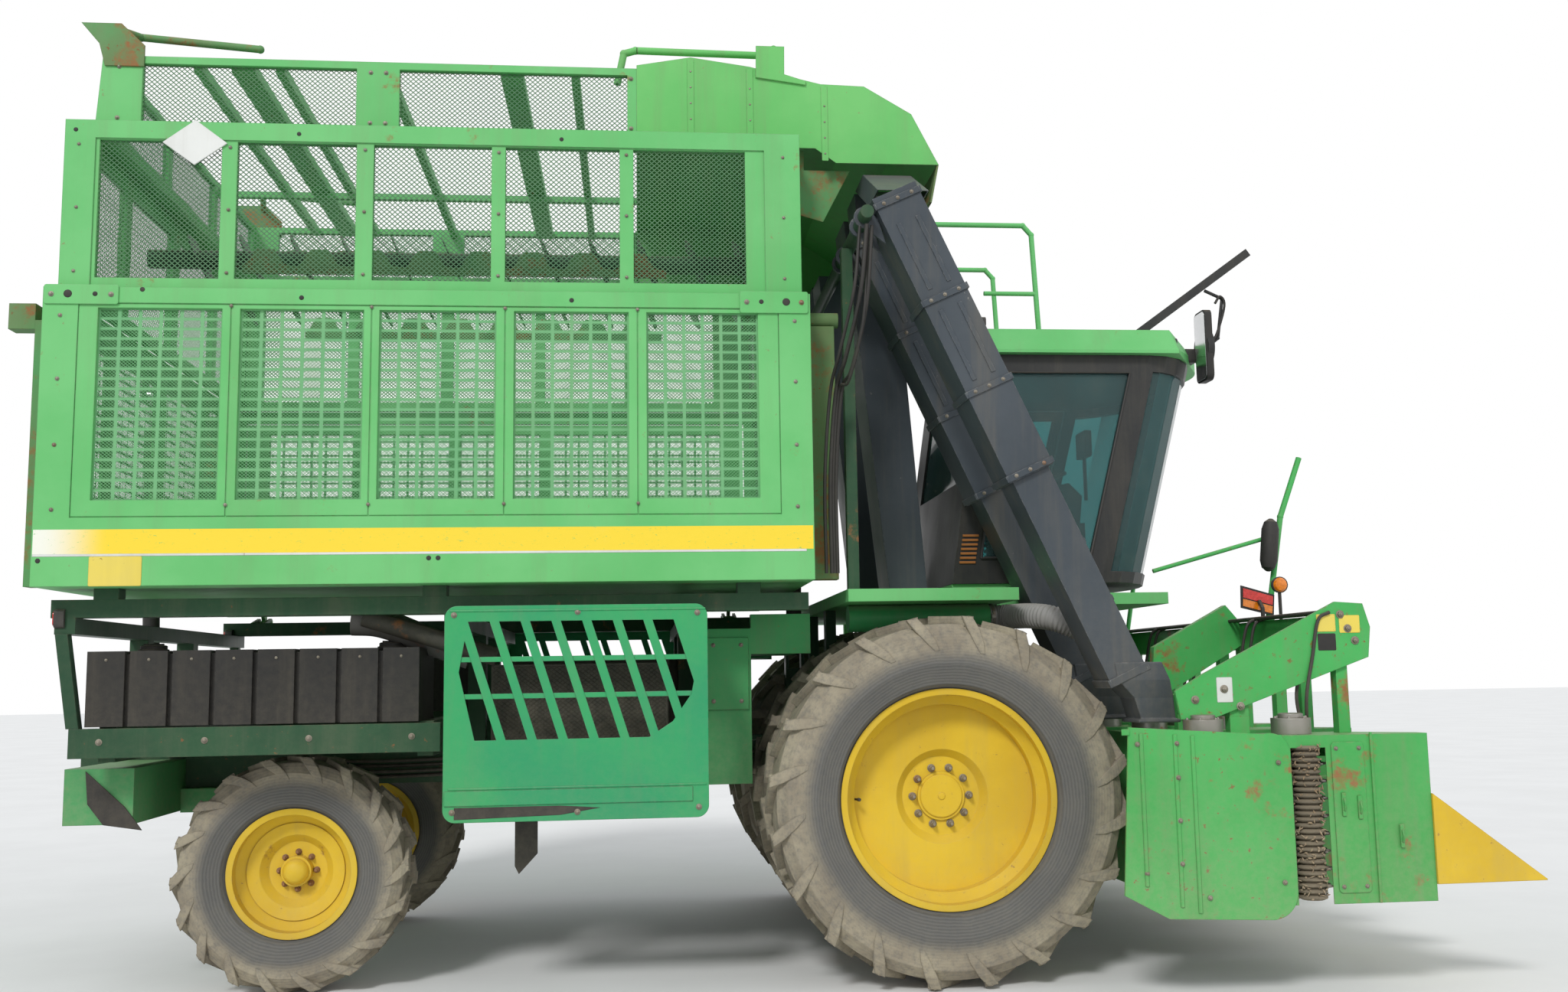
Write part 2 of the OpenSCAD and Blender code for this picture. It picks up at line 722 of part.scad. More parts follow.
// Cutters through an end wall at x
module end_windows(x, ys, zs) {
    for (p = ys) bar([x - 1, p[0], zs[0]], [x + frame_d + 1, p[1], zs[1]]);
}

// Sheets that fill the same windows
module side_sheets(y, xs, zs) {
    for (p = xs) bar([p[0], y, zs[0]], [p[1], y + mesh_t, zs[1]]);
}

module end_sheets(x, ys, zs) {
    for (p = ys) bar([x, p[0], zs[0]], [x + mesh_t, p[1], zs[1]]);
}

module basket_walls() stationed(green) {
    x0 = -basket_rear;
    x1 = -basket_front;
    w = basket_half_w;
    edges = [post_in[0], for (i = [1 : len(panel_x) - 1]) (panel_x[i - 1][1] + panel_x[i][0]) / 2,
        post_in[1]];
    // Right wall, with panel sheets between its posts
    difference() {
        union() {
            bar([x0, -w + relief, basket_z], [x1, -w + frame_d, lower_top]);
            bar([x0, -w, basket_z], [x1, -w + relief, skirt_top]);
            bar([x0, -w, band_z], [x1, -w + relief, lower_top]);
            bar([x0, -w, skirt_top], [post_in[0], -w + relief, band_z]);
            bar([post_in[1], -w, skirt_top], [x1, -w + relief, band_z]);
            for (i = [1 : len(edges) - 1])
                bar([edges[i - 1] + seam / 2, -w + relief / 2, skirt_top + seam],
                    [edges[i] - seam / 2, -w + relief, band_z - seam]);
        }
        side_windows(-w, panel_x, panel_z);
    }
    // Left wall round the dump door
    bar([x0, w - frame_d, basket_z], [x1, w, dump_z[0] - 20]);
    for (x = [x0, door_side[1]]) bar([x, w - frame_d, dump_z[0] - 20], [x + 100, w, lower_top]);
    bar([door_side[0], w - frame_d, dump_z[1]], [door_side[1], w, lower_top]);
    // Ends and floor
    for (x = [x0, x1 - frame_d]) difference() {
        bar([x, -w + frame_d, basket_z], [x + frame_d, w - frame_d, lower_top]);
        end_windows(x, end_panel_y, panel_z);
    }
    bar([x0 + frame_d, -w + frame_d, basket_z], [x1 - frame_d, w - frame_d, basket_z + 45]);
    // Lugs and pins of the dump door's hinge
    for (x = dump_hinge_x) {
        for (s = [-1, 1]) end_plate(x + s * 40 - 6, 12) {
            translate(dump_pin) circle(dump_lug_r);
            polygon([[w - 1, dump_z[0] - 100], [w - 1, dump_z[0] - 40], [dump_pin.x, dump_pin.y + 5],
                [dump_pin.x + dump_lug_r - 1, dump_pin.y], [dump_pin.x + 10, dump_pin.y - 30]]);
        }
        translate([x - 46, dump_pin.x, dump_pin.y]) rotate([0, 90, 0]) cylinder(r = dump_pin_r, h = 92);
    }
}

module hinge_lug(x) {
    w = basket_half_w;
    end_plate(x - 12, 24) {
        translate([hinge_y, hinge_z]) circle(45);
        polygon([[w, basket_z + 5], [w, basket_z + 160], [hinge_y + 44, hinge_z + 10],
            [hinge_y, hinge_z - 20]]);
    }
    translate([x - 55, hinge_y, hinge_z]) rotate([0, 90, 0]) cylinder(r = hinge_r, h = 110);
}

// Upper ends of the basket cylinders, and the lift brackets on the basket's ends
tilt_eye = [250, 3380];
tilt_l = norm(tilt_eye - tilt_pin);
tilt_a = atan2(tilt_eye.y - tilt_pin.y, tilt_eye.x - tilt_pin.x);
beam_z = 3490;
beam_r = 42;
column_y = [1350, 1450];

module lift_bracket(x, wall_x) {
    beam_y = column_y[0] + 50 - beam_r - weld;
    both() bar([min(x - 50, wall_x), column_y[0], basket_z + 20],
        [max(x + 50, wall_x), column_y[1], beam_z - beam_r - weld]);
    rod([x, -beam_y, beam_z], [x, beam_y, beam_z], beam_r);
    for (s = [-1, 1]) difference() {
        bar([x + s * 45 - 8, tilt_eye.x - 50, tilt_eye.y - 50], [x + s * 45 + 8, tilt_eye.x + 50, beam_z]);
        rod([x, tilt_eye.x - 60, beam_z], [x, tilt_eye.x + 60, beam_z], beam_r + weld);
    }
}

module basket_beams() stationed(dark_green) {
    for (x = hinge_x) hinge_lug(x);
    lift_bracket(tilt_x[0], -basket_front);
    lift_bracket(tilt_x[1], -basket_rear);
    rod([-basket_front, -column_y[0] - 50, beam_z], [tilt_x[0] + 76, -column_y[0] - 50, beam_z], beam_r);
    bar([-rear_reach, -column_y[1], 3400], [tilt_x[1] - 50 - weld, -column_y[0], 3535]);
    // Throat plates under the hood, and the lip on its front edge
    both() side_plate(-top_half_w + 100, 6) polygon(throat);
    bar([-790, -top_half_w + 106 + weld, 4440], [-700, top_half_w - 106 - weld, 4466]);
    side_plate(-top_half_w + sheet, 2 * (top_half_w - sheet))
        polygon([[74, 4347], [84, 4347], [40, 4135], [30, 4137]]);
    // Rear corner brackets and grab rails on the top
    both() {
        side_plate(-top_half_w - 10, 10) polygon([[-4467, 5033], [-4263, 5033], [-4142, 4916], [-4142, 4800],
            [-4340, 4800], [-4372, 4920]]);
        bent_rod([[-4271, -top_half_w + 7, 5000], [-4230, -grab_y, 5050], [-3607, -grab_y, 5000],
            [-3541, -grab_y, top_top - 10]], grab_r);
    }
}

ext_x = [-4450, -710];
front_wall_top = 4150;
ext_post_in = [-4300, -900];
top_x = [-4353, -1570];
top_lean = 30;
top_panels = [[-4150, -3053], [-2829, -1620]];
top_panel_z = [4500, 4820];
top_t = 40;
top_end_y = [[-1400, -500], [-440, 440], [500, 1400]];
// Cross beams of the roof, each as [station, width]
roof_beams = [[-3882, 45], [-3650, 120], [-3460, 45], [-2900, 45], [-2240, 120], [-1900, 45]];

module extension_frame() stationed(green) {
    w = mid_half_w;
    both() {
        difference() {
            union() {
                bar([ext_x[0], -w + relief, lower_top], [ext_x[1], -w + frame_d, mid_top]);
                bar([ext_x[0], -w, lower_top], [ext_post_in[0], -w + relief, mid_top]);
                bar([ext_post_in[1], -w, lower_top], [ext_x[1], -w + relief, mid_top]);
                bar([ext_post_in[0], -w, mesh_z[1] + seam], [ext_post_in[1], -w + relief, mid_top]);
            }
            side_windows(-w, mesh_x, mesh_z);
        }
        bar([ext_x[0] + frame_d + weld, -w + frame_d + weld, mid_top - sheet],
            [ext_x[1], -top_half_w + top_t, mid_top]);
        // Side of the top tier, whose rear post leans
        difference() {
            side_plate(-top_half_w, top_t) polygon([[top_x[0] - top_lean, mid_top + weld],
                [top_x[1], mid_top + weld],
                [top_x[1], top_top], [top_x[0], top_top]]);
            for (p = top_panels)
                bar([p[0], -top_half_w - 1, top_panel_z[0]], [p[1], -top_half_w + top_t + 1, top_panel_z[1]]);
        }
    }
    difference() {
        bar([ext_x[0], -w + frame_d + weld, lower_top], [ext_x[0] + frame_d, w - frame_d - weld, mid_top]);
        end_windows(ext_x[0], end_panel_y, mesh_z);
    }
    difference() {
        bar([ext_x[1] - frame_d, -w + frame_d + weld, lower_top],
            [ext_x[1], w - frame_d - weld, front_wall_top]);
        end_windows(ext_x[1] - frame_d, end_panel_y, front_mesh_z);
    }
    difference() {
        bar([top_x[0], -top_half_w + top_t + weld, mid_top + weld],
            [top_x[0] + top_t, top_half_w - top_t - weld, top_top]);
        for (p = top_end_y)
            bar([top_x[0] - 1, p[0], top_panel_z[0]], [top_x[0] + top_t + 1, p[1], top_panel_z[1]]);
    }
    for (b = roof_beams)
        bar([b[0] - b[1] / 2, -top_half_w + top_t + weld, top_top - 60],
            [b[0] + b[1] / 2, top_half_w - top_t - weld, top_top - 5]);
    for (y = [-500, 500])
        bar([top_x[0] + top_t + weld, y - 20, top_top - 100], [top_x[1], y + 20, top_top - 60 - weld]);
    // Rear ledge between the two tiers
    bar([ext_x[0] + frame_d + weld, -top_half_w + top_t + weld, mid_top - sheet],
        [top_x[0] + top_t, top_half_w - top_t - weld, mid_top]);
}

// Perforated sheets below, expanded mesh above
module basket_mesh() stationed(green) {
    side_sheets(-basket_half_w + 20, panel_x, panel_z);
    for (x = [-basket_rear + 20, -basket_front - frame_d + 20]) end_sheets(x, end_panel_y, panel_z);
    both() side_sheets(-mid_half_w + 20, mesh_x, mesh_z);
    end_sheets(ext_x[0] + 20, end_panel_y, mesh_z);
    end_sheets(ext_x[1] - frame_d + 20, end_panel_y, front_mesh_z);
    both() side_sheets(-top_half_w + 18, top_panels, top_panel_z);
    end_sheets(top_x[0] + 18, top_end_y, top_panel_z);
}

hood_outer = [[top_x[1], mid_top], [top_x[1], 4879], [-1277, 4932], [-954, 4887], [-564, 4797], [-323, 4790],
    [-62, 4637], [84, 4349], [-486, 4349], [-600, mid_top]];
hood_inner = [[top_x[1] - 6, mid_top - 5], [top_x[1] - 6, 4875], [-1277, 4928], [-954, 4883], [-564, 4793],
    [-325, 4786], [-66, 4634], [79, 4340], [-484, 4340], [-600, mid_top - 5]];
throat = [[-790, 4466], [-652, 4452], [-652, 4340], [-397, 4340], [-551, 4047], [-706, 4092], [-706, 4156],
    [-770, 4156]];
grab_y = 1300;
grab_r = 20;

module hood() stationed(green) {
    both() side_plate(-top_half_w, sheet) polygon(hood_outer);
    side_plate(-top_half_w + sheet + weld, 2 * (top_half_w - sheet - weld)) difference() {
        polygon(hood_outer);
        polygon(hood_inner);
    }
    // Brackets and grab rails on the top
    both() {
        side_plate(-top_half_w - 12 - weld, 12) polygon([[-921, 4823], [-918, 5003], [-762, 5003],
            [-764, 4844],
            [-646, 4808], [-647, 4786]]);
        bent_rod([[-1677, -grab_y, top_top - 10], [-1640, -grab_y, 5030], [-1575, -grab_y, 5050],
            [-820, -grab_y, 5040], [-820, -top_half_w - 4, 4990]], grab_r);
    }
}

flight_r = 160;
flight_pitch = 290;
auger_r = 55;
auger_y = 500;
auger_z = 4050;

module augers() stationed(dark_green) {
    x0 = ext_x[0] + frame_d;
    x1 = ext_x[1] - frame_d;
    for (y = [-auger_y, auger_y]) {
        rod([x0, y, auger_z], [x1, y, auger_z], auger_r);
        for (i = [1 : floor((x1 - x0) / flight_pitch)]) difference() {
            translate([x0 + i * flight_pitch, y, auger_z]) rotate([0, 90 - 24, 0])
                cylinder(r = flight_r, h = 8, center = true);
            rod([x0, y, auger_z], [x1, y, auger_z], auger_r + weld);
        }
    }
}

module dump_door() stationed(green) {
    w = basket_half_w;
    difference() {
        bar([door_side[0] + dump_gap, w - frame_d, dump_z[0] + dump_gap],
            [door_side[1] - dump_gap, w, dump_z[1] - dump_gap]);
        side_windows(w - frame_d, panel_x, dump_panel_z);
    }
    for (x = dump_hinge_x) difference() {
        union() {
            translate([x - 25, dump_pin.x, dump_pin.y]) rotate([0, 90, 0]) cylinder(r = dump_lug_r, h = 50);
            bar([x - 25, w - 1, dump_z[0] + dump_gap], [x + 25, dump_pin.x, dump_z[0] + 90]);
        }
        translate([x - 30, dump_pin.x, dump_pin.y]) rotate([0, 90, 0])
            cylinder(r = dump_pin_r + pin_gap, h = 60);
    }
}

module dump_door_mesh() stationed(green) {
    side_sheets(basket_half_w - 20 - mesh_t, panel_x, dump_panel_z);
}

module tilt_barrels() stationed(steel) {
    for (x = tilt_x) translate([x, tilt_pin.x, tilt_pin.y]) rotate([tilt_a - 90, 0, 0]) difference() {
        union() {
            translate([0, 0, 85]) cylinder(r = 50, h = 1335);
            translate([-30, 0, 0]) rotate([0, 90, 0]) cylinder(r = 45, h = 60);
            bar([-30, -40, 0], [30, 40, 95]);
        }
        translate([-31, 0, 0]) rotate([0, 90, 0]) cylinder(r = tilt_pin_r + pin_gap, h = 62);
        translate([0, 0, 100]) cylinder(r = 32, h = 1400);
    }
}

module tilt_rods() stationed(steel) {
    for (x = tilt_x) translate([x, tilt_pin.x, tilt_pin.y]) rotate([tilt_a - 90, 0, 0]) {
        translate([0, 0, 110]) cylinder(r = 32 - pin_gap, h = 60);
        translate([0, 0, 110]) cylinder(r = 28, h = tilt_l - 110 - 30);
        translate([-28, 0, tilt_l]) rotate([0, 90, 0]) cylinder(r = 40, h = 56);
    }
}

// Header
lift_pin = [lift_pivot_x + lift_arm_l * cos(lift_droop), lift_pivot_z - lift_arm_l * sin(lift_droop)];
lift_base = [605, 1165];
lift_eye = [lift_pivot_x + 560 * cos(lift_droop), lift_pivot_z - 560 * sin(lift_droop)];
lift_l = norm(lift_eye - lift_base);
lift_a = atan2(lift_eye.y - lift_base.y, lift_eye.x - lift_base.x);
lift_cyl_y = [-200, 200];

module lift_arms() stationed(dark_green) {
    both() difference() {
        union() {
            side_plate(lift_arm_y[0], lift_arm_y[1] - lift_arm_y[0]) {
                translate([lift_pivot_x, lift_pivot_z]) circle(70);
                translate(lift_pin) circle(60);
                polygon([[lift_pivot_x, lift_pivot_z + 60], [lift_pin.x, lift_pin.y + 55],
                    [lift_pin.x, lift_pin.y - 55], [lift_pivot_x, lift_pivot_z - 60]]);
            }
            translate([lift_pivot_x, lift_arm_y[1], lift_pivot_z]) rotate([-90, 0, 0])
                cylinder(r = lift_pin_r, h = rail_y - lift_arm_y[1]);
        }
        translate([lift_pin.x, lift_arm_y[0] - 1, lift_pin.y]) rotate([-90, 0, 0])
            cylinder(r = lift_pin_r + pin_gap, h = 72);
    }
    // Cross tube with the ears of the lift cylinders
    tube = [lift_eye.x + 64, lift_eye.y + 38];
    translate([tube.x, -lift_arm_y[0] + weld, tube.y]) rotate([-90, 0, 0])
        cylinder(r = 38, h = 2 * (lift_arm_y[0] - weld));
    for (y = lift_cyl_y, s = [-1, 1]) side_plate(y + s * 36 - 6, 12) difference() {
        polygon([[lift_eye.x - 30, lift_eye.y + 20], [lift_eye.x - 20, lift_eye.y - 30],
            [lift_eye.x + 50, lift_eye.y - 10], [lift_eye.x + 95, lift_eye.y + 30],
            [lift_eye.x + 50, lift_eye.y + 70]]);
        translate(tube) circle(38 + weld);
    }
}

rows = [for (i = [-2.5 : 1 : 2.5]) i * row_pitch];
side_arm = [[1050, 1463], [1195, 1545], [1897, 1894], [2041, 1884], [2074, 1766], [2056, 1617],
    [1255, 1333], [1075, 1325]];
arm_plate_y = 2100;
rear_tube = [[1330, 1335], [1430, 1435]];

module header_frame() stationed(green) {
    // Tool bar, rear cross tube and the two side plates
    half_w = arm_plate_y - weld;
    bar([1880, -half_w, 1680], [2030, half_w, 1830]);
    bar([rear_tube[0].x, -half_w, rear_tube[0].y], [rear_tube[1].x, half_w, rear_tube[1].y]);
    both() side_plate(arm_plate_y, 20) polygon(side_arm);
    // Struts between the tubes, and the hangers of the row units
    both() side_plate(920, 60) polygon([[1364, 1700], [1731, 1897], [1800, 1935], [1880 - weld, 1840],
        [1880 - weld, 1700], [1430, rear_tube[1].y + weld], [1340, rear_tube[1].y + weld]]);
    for (y = rows) {
        y0 = y - row_gap - unit_w / 2;
        y1 = y + (shroud_y[0] + shroud_y[1]) / 2;
        for (h = [[y0, unit_top], [y1, shroud_top]]) {
            hy = max(30 - half_w, min(half_w - 30, h[0]));
            bar([rear_tube[0].x, hy - 30, h[1]], [rear_tube[1].x, hy + 30, rear_tube[0].y - weld]);
            bar([1890, hy - 30, h[1]], [1950, hy + 30, 1680 - weld]);
        }
    }
    // Handrails on the tool bar
    both() {
        translate([1955, -1200, 1830 + weld]) cylinder(r = 35, h = 12);
        bent_rod([[1955, -1200, 1838], [2060, -1200, 2423], [2190, -1200, 2760]], 16);
    }
    rod([1300, -1200, 2120], [2021.5, -1200, 2316], 12);
    // Ears and pins for the lift arms
    both() {
        for (y = [lift_arm_y[0] - 35, lift_arm_y[1] + 10]) side_plate(y, 25) {
            translate(lift_pin) circle(50);
            polygon([[lift_pin.x, lift_pin.y + 50], [rear_tube[0].x - weld, rear_tube[1].y],
                [rear_tube[0].x - weld, rear_tube[0].y], [lift_pin.x, lift_pin.y - 50]]);
        }
        translate([lift_pin.x, lift_arm_y[0] - 35, lift_pin.y]) rotate([-90, 0, 0])
            cylinder(r = lift_pin_r, h = 140);
    }
}

unit_x = [1000, 2234];
shroud_y = [110, 361];
shroud_top = 1000;
nose_x = 1916;
nose_taper = 240;
column_x = [1540, 1715];
drum_x = [1180, 1628];
drum_r = 130;
drum_ridges = 9;
drive_r = 95;
divider_half_w = 88;
divider_z = [529, 957];
cover_t = 12;
// Rear corner of the outer cover, its top and its rounded front corner
cover = [720, 1300];
cover_front = 1535;
cover_r = 130;
cover_low = 388;

// Plan of a unit between y0 and y1, with the nose drawn in on the side of the row
module unit_plan(y0, y1, x0, taper0, taper1, t) {
    polygon([[x0 + t, y0 + t], [nose_x, y0 + t], [unit_x[1] - t, y0 + taper0 + t],
        [unit_x[1] - t, y1 - taper1 - t], [nose_x, y1 - t], [x0 + t, y1 - t]]);
}

// A sheet-metal cabinet, open below
module unit_shell(y0, y1, x0, taper0, taper1, top) {
    difference() {
        translate([0, 0, unit_z]) linear_extrude(top - unit_z) unit_plan(y0, y1, x0, taper0, taper1, 0);
        translate([0, 0, unit_z - 1]) linear_extrude(top - unit_z + 1 - sheet)
            unit_plan(y0, y1, x0, taper0, taper1, sheet);
    }
}

module unit_cabinets() stationed(green) {
    for (y = rows) {
        y0 = y - row_gap - unit_w;
        difference() {
            unit_shell(y0, y0 + unit_w, unit_x[0], 0, nose_taper, unit_top);
            // Gap beside the spindle drum, and the picking side
            bar([column_x[0], y0 - 1, unit_z - 1], [column_x[1], y0 + unit_w + 1, unit_top - 60]);
            bar([unit_x[0] + 100, y0 + unit_w - 5, unit_z - 1],
                [nose_x - 20, y0 + unit_w + 1, unit_top - 120]);
        }
        // Shroud on the other side of the row
        unit_shell(y + shroud_y[0], y + shroud_y[1], unit_x[0] + 120, nose_taper - 70, 0, shroud_top);
    }
    // Cover of the outer right unit, with a rounded corner at the bottom
    right = rows[0] - row_gap - unit_w;
    side_plate(right - cover_t, cover_t) {
        polygon([[cover.x - 30, 520], [cover.x + 20, cover.y], [cover_front - 40, cover.y - 50],
            [cover_front, cover.y - 130], [cover_front, cover_low + cover_r],
            [cover_front - cover_r, cover_low],
            [cover.x + 180, cover_low + 20]]);
        translate([cover_front - cover_r, cover_low + cover_r]) circle(cover_r);
        translate([cover_front - 100, cover.y - 140]) circle(100);
    }
    bar([cover.x + 80, right, 560], [unit_x[0], right + 60, unit_top]);
}

// Spindle drums, ridged where each row of spindles is, with their drives on top
module unit_drums() stationed(steel) {
    top = unit_top - sheet;
    low = unit_z + 40;
    pitch = (top - low) / drum_ridges;
    for (y = rows, x = drum_x) translate([x, y - row_gap - unit_w / 2, 0]) {
        rotate_extrude() polygon(concat([[0, low]],
            [for (i = [0 : drum_ridges - 1],
                c = [[drum_r - 25, 0], [drum_r, 0.2], [drum_r, 0.5], [drum_r - 25, 0.7]])
                [c[0], low + (i + c[1]) * pitch]], [[drum_r - 25, top], [0, top]]));
        translate([0, 0, unit_top]) cylinder(r = drive_r, h = 79);
    }
}

// Dividers run from the unit's front to a point near the ground
module row_dividers() stationed(yellow) {
    side = rows[0] - row_gap - unit_w - cover_t;
    for (i = [-3 : 3]) {
        y = i * row_pitch;
        low = max(side, y - divider_half_w);
        high = min(-side, y + divider_half_w);
        hull() {
            bar([unit_x[1], low, divider_z[0]], [unit_x[1] + 1, high, divider_z[1]]);
            bar([front_reach - 1, y - 4, divider_z[0]], [front_reach, y + 4, divider_z[0] + 6]);
        }
    }
}

module lift_barrels() stationed(steel) {
    for (y = lift_cyl_y) translate([lift_base.x, y, lift_base.y]) rotate([0, 90 - lift_a, 0]) {
        difference() {
            union() {
                translate([0, -28, 0]) rotate([-90, 0, 0]) cylinder(r = 28, h = 56);
                bar([-26, -28, 0], [26, 28, 55]);
                translate([0, 0, 50]) cylinder(r = 38, h = 330);
            }
            translate([0, 0, 70]) cylinder(r = 26, h = 400);
        }
        translate([0, -42, 0]) rotate([-90, 0, 0]) cylinder(r = 16, h = 84);
    }
}

module lift_rods() stationed(steel) {
    for (y = lift_cyl_y) translate([lift_base.x, y, lift_base.y]) rotate([0, 90 - lift_a, 0]) {
        translate([0, 0, 75]) cylinder(r = 20, h = lift_l - 95);
        translate([0, 0, 75]) cylinder(r = 26 - pin_gap, h = 50);
        translate([0, -25, lift_l]) rotate([-90, 0, 0]) cylinder(r = 30, h = 50);
    }
}

// Wheels
front_y = [row_pitch, 2 * row_pitch];
lug_turn = 42;
lug_half_w = 22;

// A hollow tyre with slanted lugs. Its axle lies along Y
module tyre(r, w, rim_r, lug, lugs) {
    tread = r - lug;
    rotate([90, 0, 0]) {
        rotate_extrude($fn = 96) polygon([
            [rim_r - 24.7, -w * 0.33], [rim_r + 2, -w * 0.335], [rim_r + 22, -w * 0.42], [r * 0.73, -w / 2],
            [tread - 60, -w * 0.49], [tread - 8, -w * 0.40], [tread, 0], [tread - 8, w * 0.40],
            [tread - 60, w * 0.49], [r * 0.73, w / 2], [rim_r + 22, w * 0.42], [rim_r + 2, w * 0.335],
            [rim_r - 24.7, w * 0.33], [rim_r - 24.7, w * 0.25], [rim_r + 20, w * 0.30],
            [r * 0.73, w / 2 - 26], [tread - 40, w * 0.38], [tread - 30, 0], [tread - 40, -w * 0.38],
            [r * 0.73, -w / 2 + 26], [rim_r + 20, -w * 0.30], [rim_r - 24.7, -w * 0.25]]);
        half = w * 0.26;
        reach = half * sin(lug_turn) + lug_half_w * cos(lug_turn);
        lug_top = sqrt(r * r - reach * reach);
        // One lug's corner stands straight below the axle
        for (i = [0 : lugs - 1], s = [0, 1]) rotate([0, 0, asin(reach / r) - 90 + (i + s / 2) * 360 / lugs])
            translate([0, 0, (2 * s - 1) * w * 0.24]) rotate([(2 * s - 1) * lug_turn, 0, 0])
                translate([tread - 18, -lug_half_w, -half])
                    cube([lug_top - tread + 18, 2 * lug_half_w, 2 * half]);
    }
}

// A rim barrel with its disc. dish is the disc's place along the axle
module rim(r, w, dish, bolts, bolt_r, bore) {
    hw = w * 0.335 + 3;
    rotate([-90, 0, 0]) difference() {
        union() {
            rotate_extrude($fn = 96) polygon([
                [r, -hw - 8], [r, -hw], [r - 25, -hw], [r - 25, -hw + 50], [r - 75, -hw + 95],
                [r - 75, hw - 95], [r - 25, hw - 50], [r - 25, hw], [r, hw], [r, hw + 8], [r - 33, hw + 8],
                [r - 33, hw - 54], [r - 83, hw - 100], [r - 83, -hw + 100], [r - 33, -hw + 54],
                [r - 33, -hw - 8]]);
            rotate_extrude($fn = 96) polygon([[bore, dish], [bolt_r + 60, dish], [bolt_r + 100, dish + 45],
                [r - 80, dish + 60], [r - 80, dish + 72], [bolt_r + 92, dish + 57], [bolt_r + 54, dish + 12],
                [bore, dish + 12]]);
        }
        for (i = [0 : bolts - 1]) rotate([0, 0, i * 360 / bolts]) translate([bolt_r, 0, dish - 1])
            cylinder(r = 11, h = 14);
    }
}

hub_r = 125;
hub_x = [592, 1480];
spindle_r = 45;

module front_tyres(s) for (y = front_y)
    translate([0, s * y, front_tyre_r]) tyre(front_tyre_r, front_tyre_w, front_rim_r, front_lug_h, 20);

module front_rims(s) translate([0, 0, front_tyre_r]) mirror([0, s > 0 ? 0 : 1, 0]) {
    for (y = front_y) translate([0, y, 0]) rim(front_rim_r, front_tyre_w, -70, front_bolts, 150, 60);
    difference() {
        translate([0, hub_x[0], 0]) rotate([-90, 0, 0]) cylinder(r = hub_r, h = hub_x[1] - hub_x[0]);
        for (y = front_y) translate([0, y - 71, 0]) rotate([-90, 0, 0]) cylinder(r = hub_r + 1, h = 14);
    }
}

module rear_tyre(s) translate([-wheelbase, s * rear_track_half, rear_tyre_r])
    tyre(rear_tyre_r, rear_tyre_w, rear_rim_r, rear_lug_h, 18);

module rear_rim(s) translate([-wheelbase, 0, rear_tyre_r]) mirror([0, s > 0 ? 0 : 1, 0]) {
    translate([0, rear_track_half, 0]) rim(rear_rim_r, rear_tyre_w, -30, rear_bolts, 95, 50);
    translate([0, rear_track_half, 0]) rotate([-90, 0, 0]) difference() {
        translate([0, 0, -130]) cylinder(r = 78, h = 170);
        translate([0, 0, -131]) cylinder(r = spindle_r + pin_gap, h = 140);
    }
}

module knuckle(s) translate([-wheelbase, 0, 0]) mirror([0, s > 0 ? 0 : 1, 0]) {
    translate([0, king_y, king_z[0]]) cylinder(r = king_r, h = king_z[1] - king_z[0]);
    for (z = [[king_z[0], eye_z[0] - 5], [eye_z[1] + 5, king_z[1]]])
        bar([-60, king_y - 60, z[0]], [60, king_y + 110, z[1]]);
    bar([-60, king_y + 90, eye_z[0] - 5], [60, king_y + 110, eye_z[1] + 5]);
    translate([0, king_y + 110, rear_tyre_r]) rotate([-90, 0, 0]) cylinder(r = spindle_r, h = 200);
}

module front_tyres_right() stationed(tyre_grey) front_tyres(-1);
module front_tyres_left() stationed(tyre_grey) front_tyres(1);
module front_rims_right() stationed(yellow) front_rims(-1);
module front_rims_left() stationed(yellow) front_rims(1);
module rear_tyre_right() stationed(tyre_grey) rear_tyre(-1);
module rear_tyre_left() stationed(tyre_grey) rear_tyre(1);
module rear_rim_right() stationed(yellow) rear_rim(-1);
module rear_rim_left() stationed(yellow) rear_rim(1);
module knuckle_right() stationed(dark_green) knuckle(-1);
module knuckle_left() stationed(dark_green) knuckle(1);

frame();
axles();
engine();
engine_shields();
body_panels();
ribbed_tanks();
platform();
cab_frame();
cab_glass();
cab_roof();
cab_seat();
mirrors();
air_hose();
inner_ducts();
cab_door();
cab_door_glass();
basket_walls();
basket_beams();
extension_frame();
basket_mesh();
hood();
augers();
dump_door();
dump_door_mesh();
tilt_barrels();
tilt_rods();
lift_arms();
header_frame();
unit_cabinets();
unit_drums();
row_dividers();
lift_barrels();
lift_rods();
upper_ducts();
lower_ducts();
front_tyres_right();
front_tyres_left();
front_rims_right();
front_rims_left();
rear_tyre_right();
rear_tyre_left();
rear_rim_right();
rear_rim_left();
knuckle_right();
knuckle_left();
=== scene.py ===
import math
import random

import bpy
from mathutils import Matrix, Vector


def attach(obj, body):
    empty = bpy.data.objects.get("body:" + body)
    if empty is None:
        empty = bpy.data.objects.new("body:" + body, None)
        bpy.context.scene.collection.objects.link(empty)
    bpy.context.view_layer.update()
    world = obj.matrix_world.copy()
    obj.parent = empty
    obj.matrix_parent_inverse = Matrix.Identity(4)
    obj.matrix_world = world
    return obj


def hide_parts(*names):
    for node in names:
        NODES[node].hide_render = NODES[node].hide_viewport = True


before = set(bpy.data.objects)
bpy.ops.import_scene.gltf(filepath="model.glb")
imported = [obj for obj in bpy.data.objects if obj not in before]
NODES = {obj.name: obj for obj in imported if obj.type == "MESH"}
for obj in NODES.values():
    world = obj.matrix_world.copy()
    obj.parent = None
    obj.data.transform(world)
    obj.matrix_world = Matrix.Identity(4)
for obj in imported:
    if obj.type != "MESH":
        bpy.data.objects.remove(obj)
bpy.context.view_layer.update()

rnd = random.Random(7)

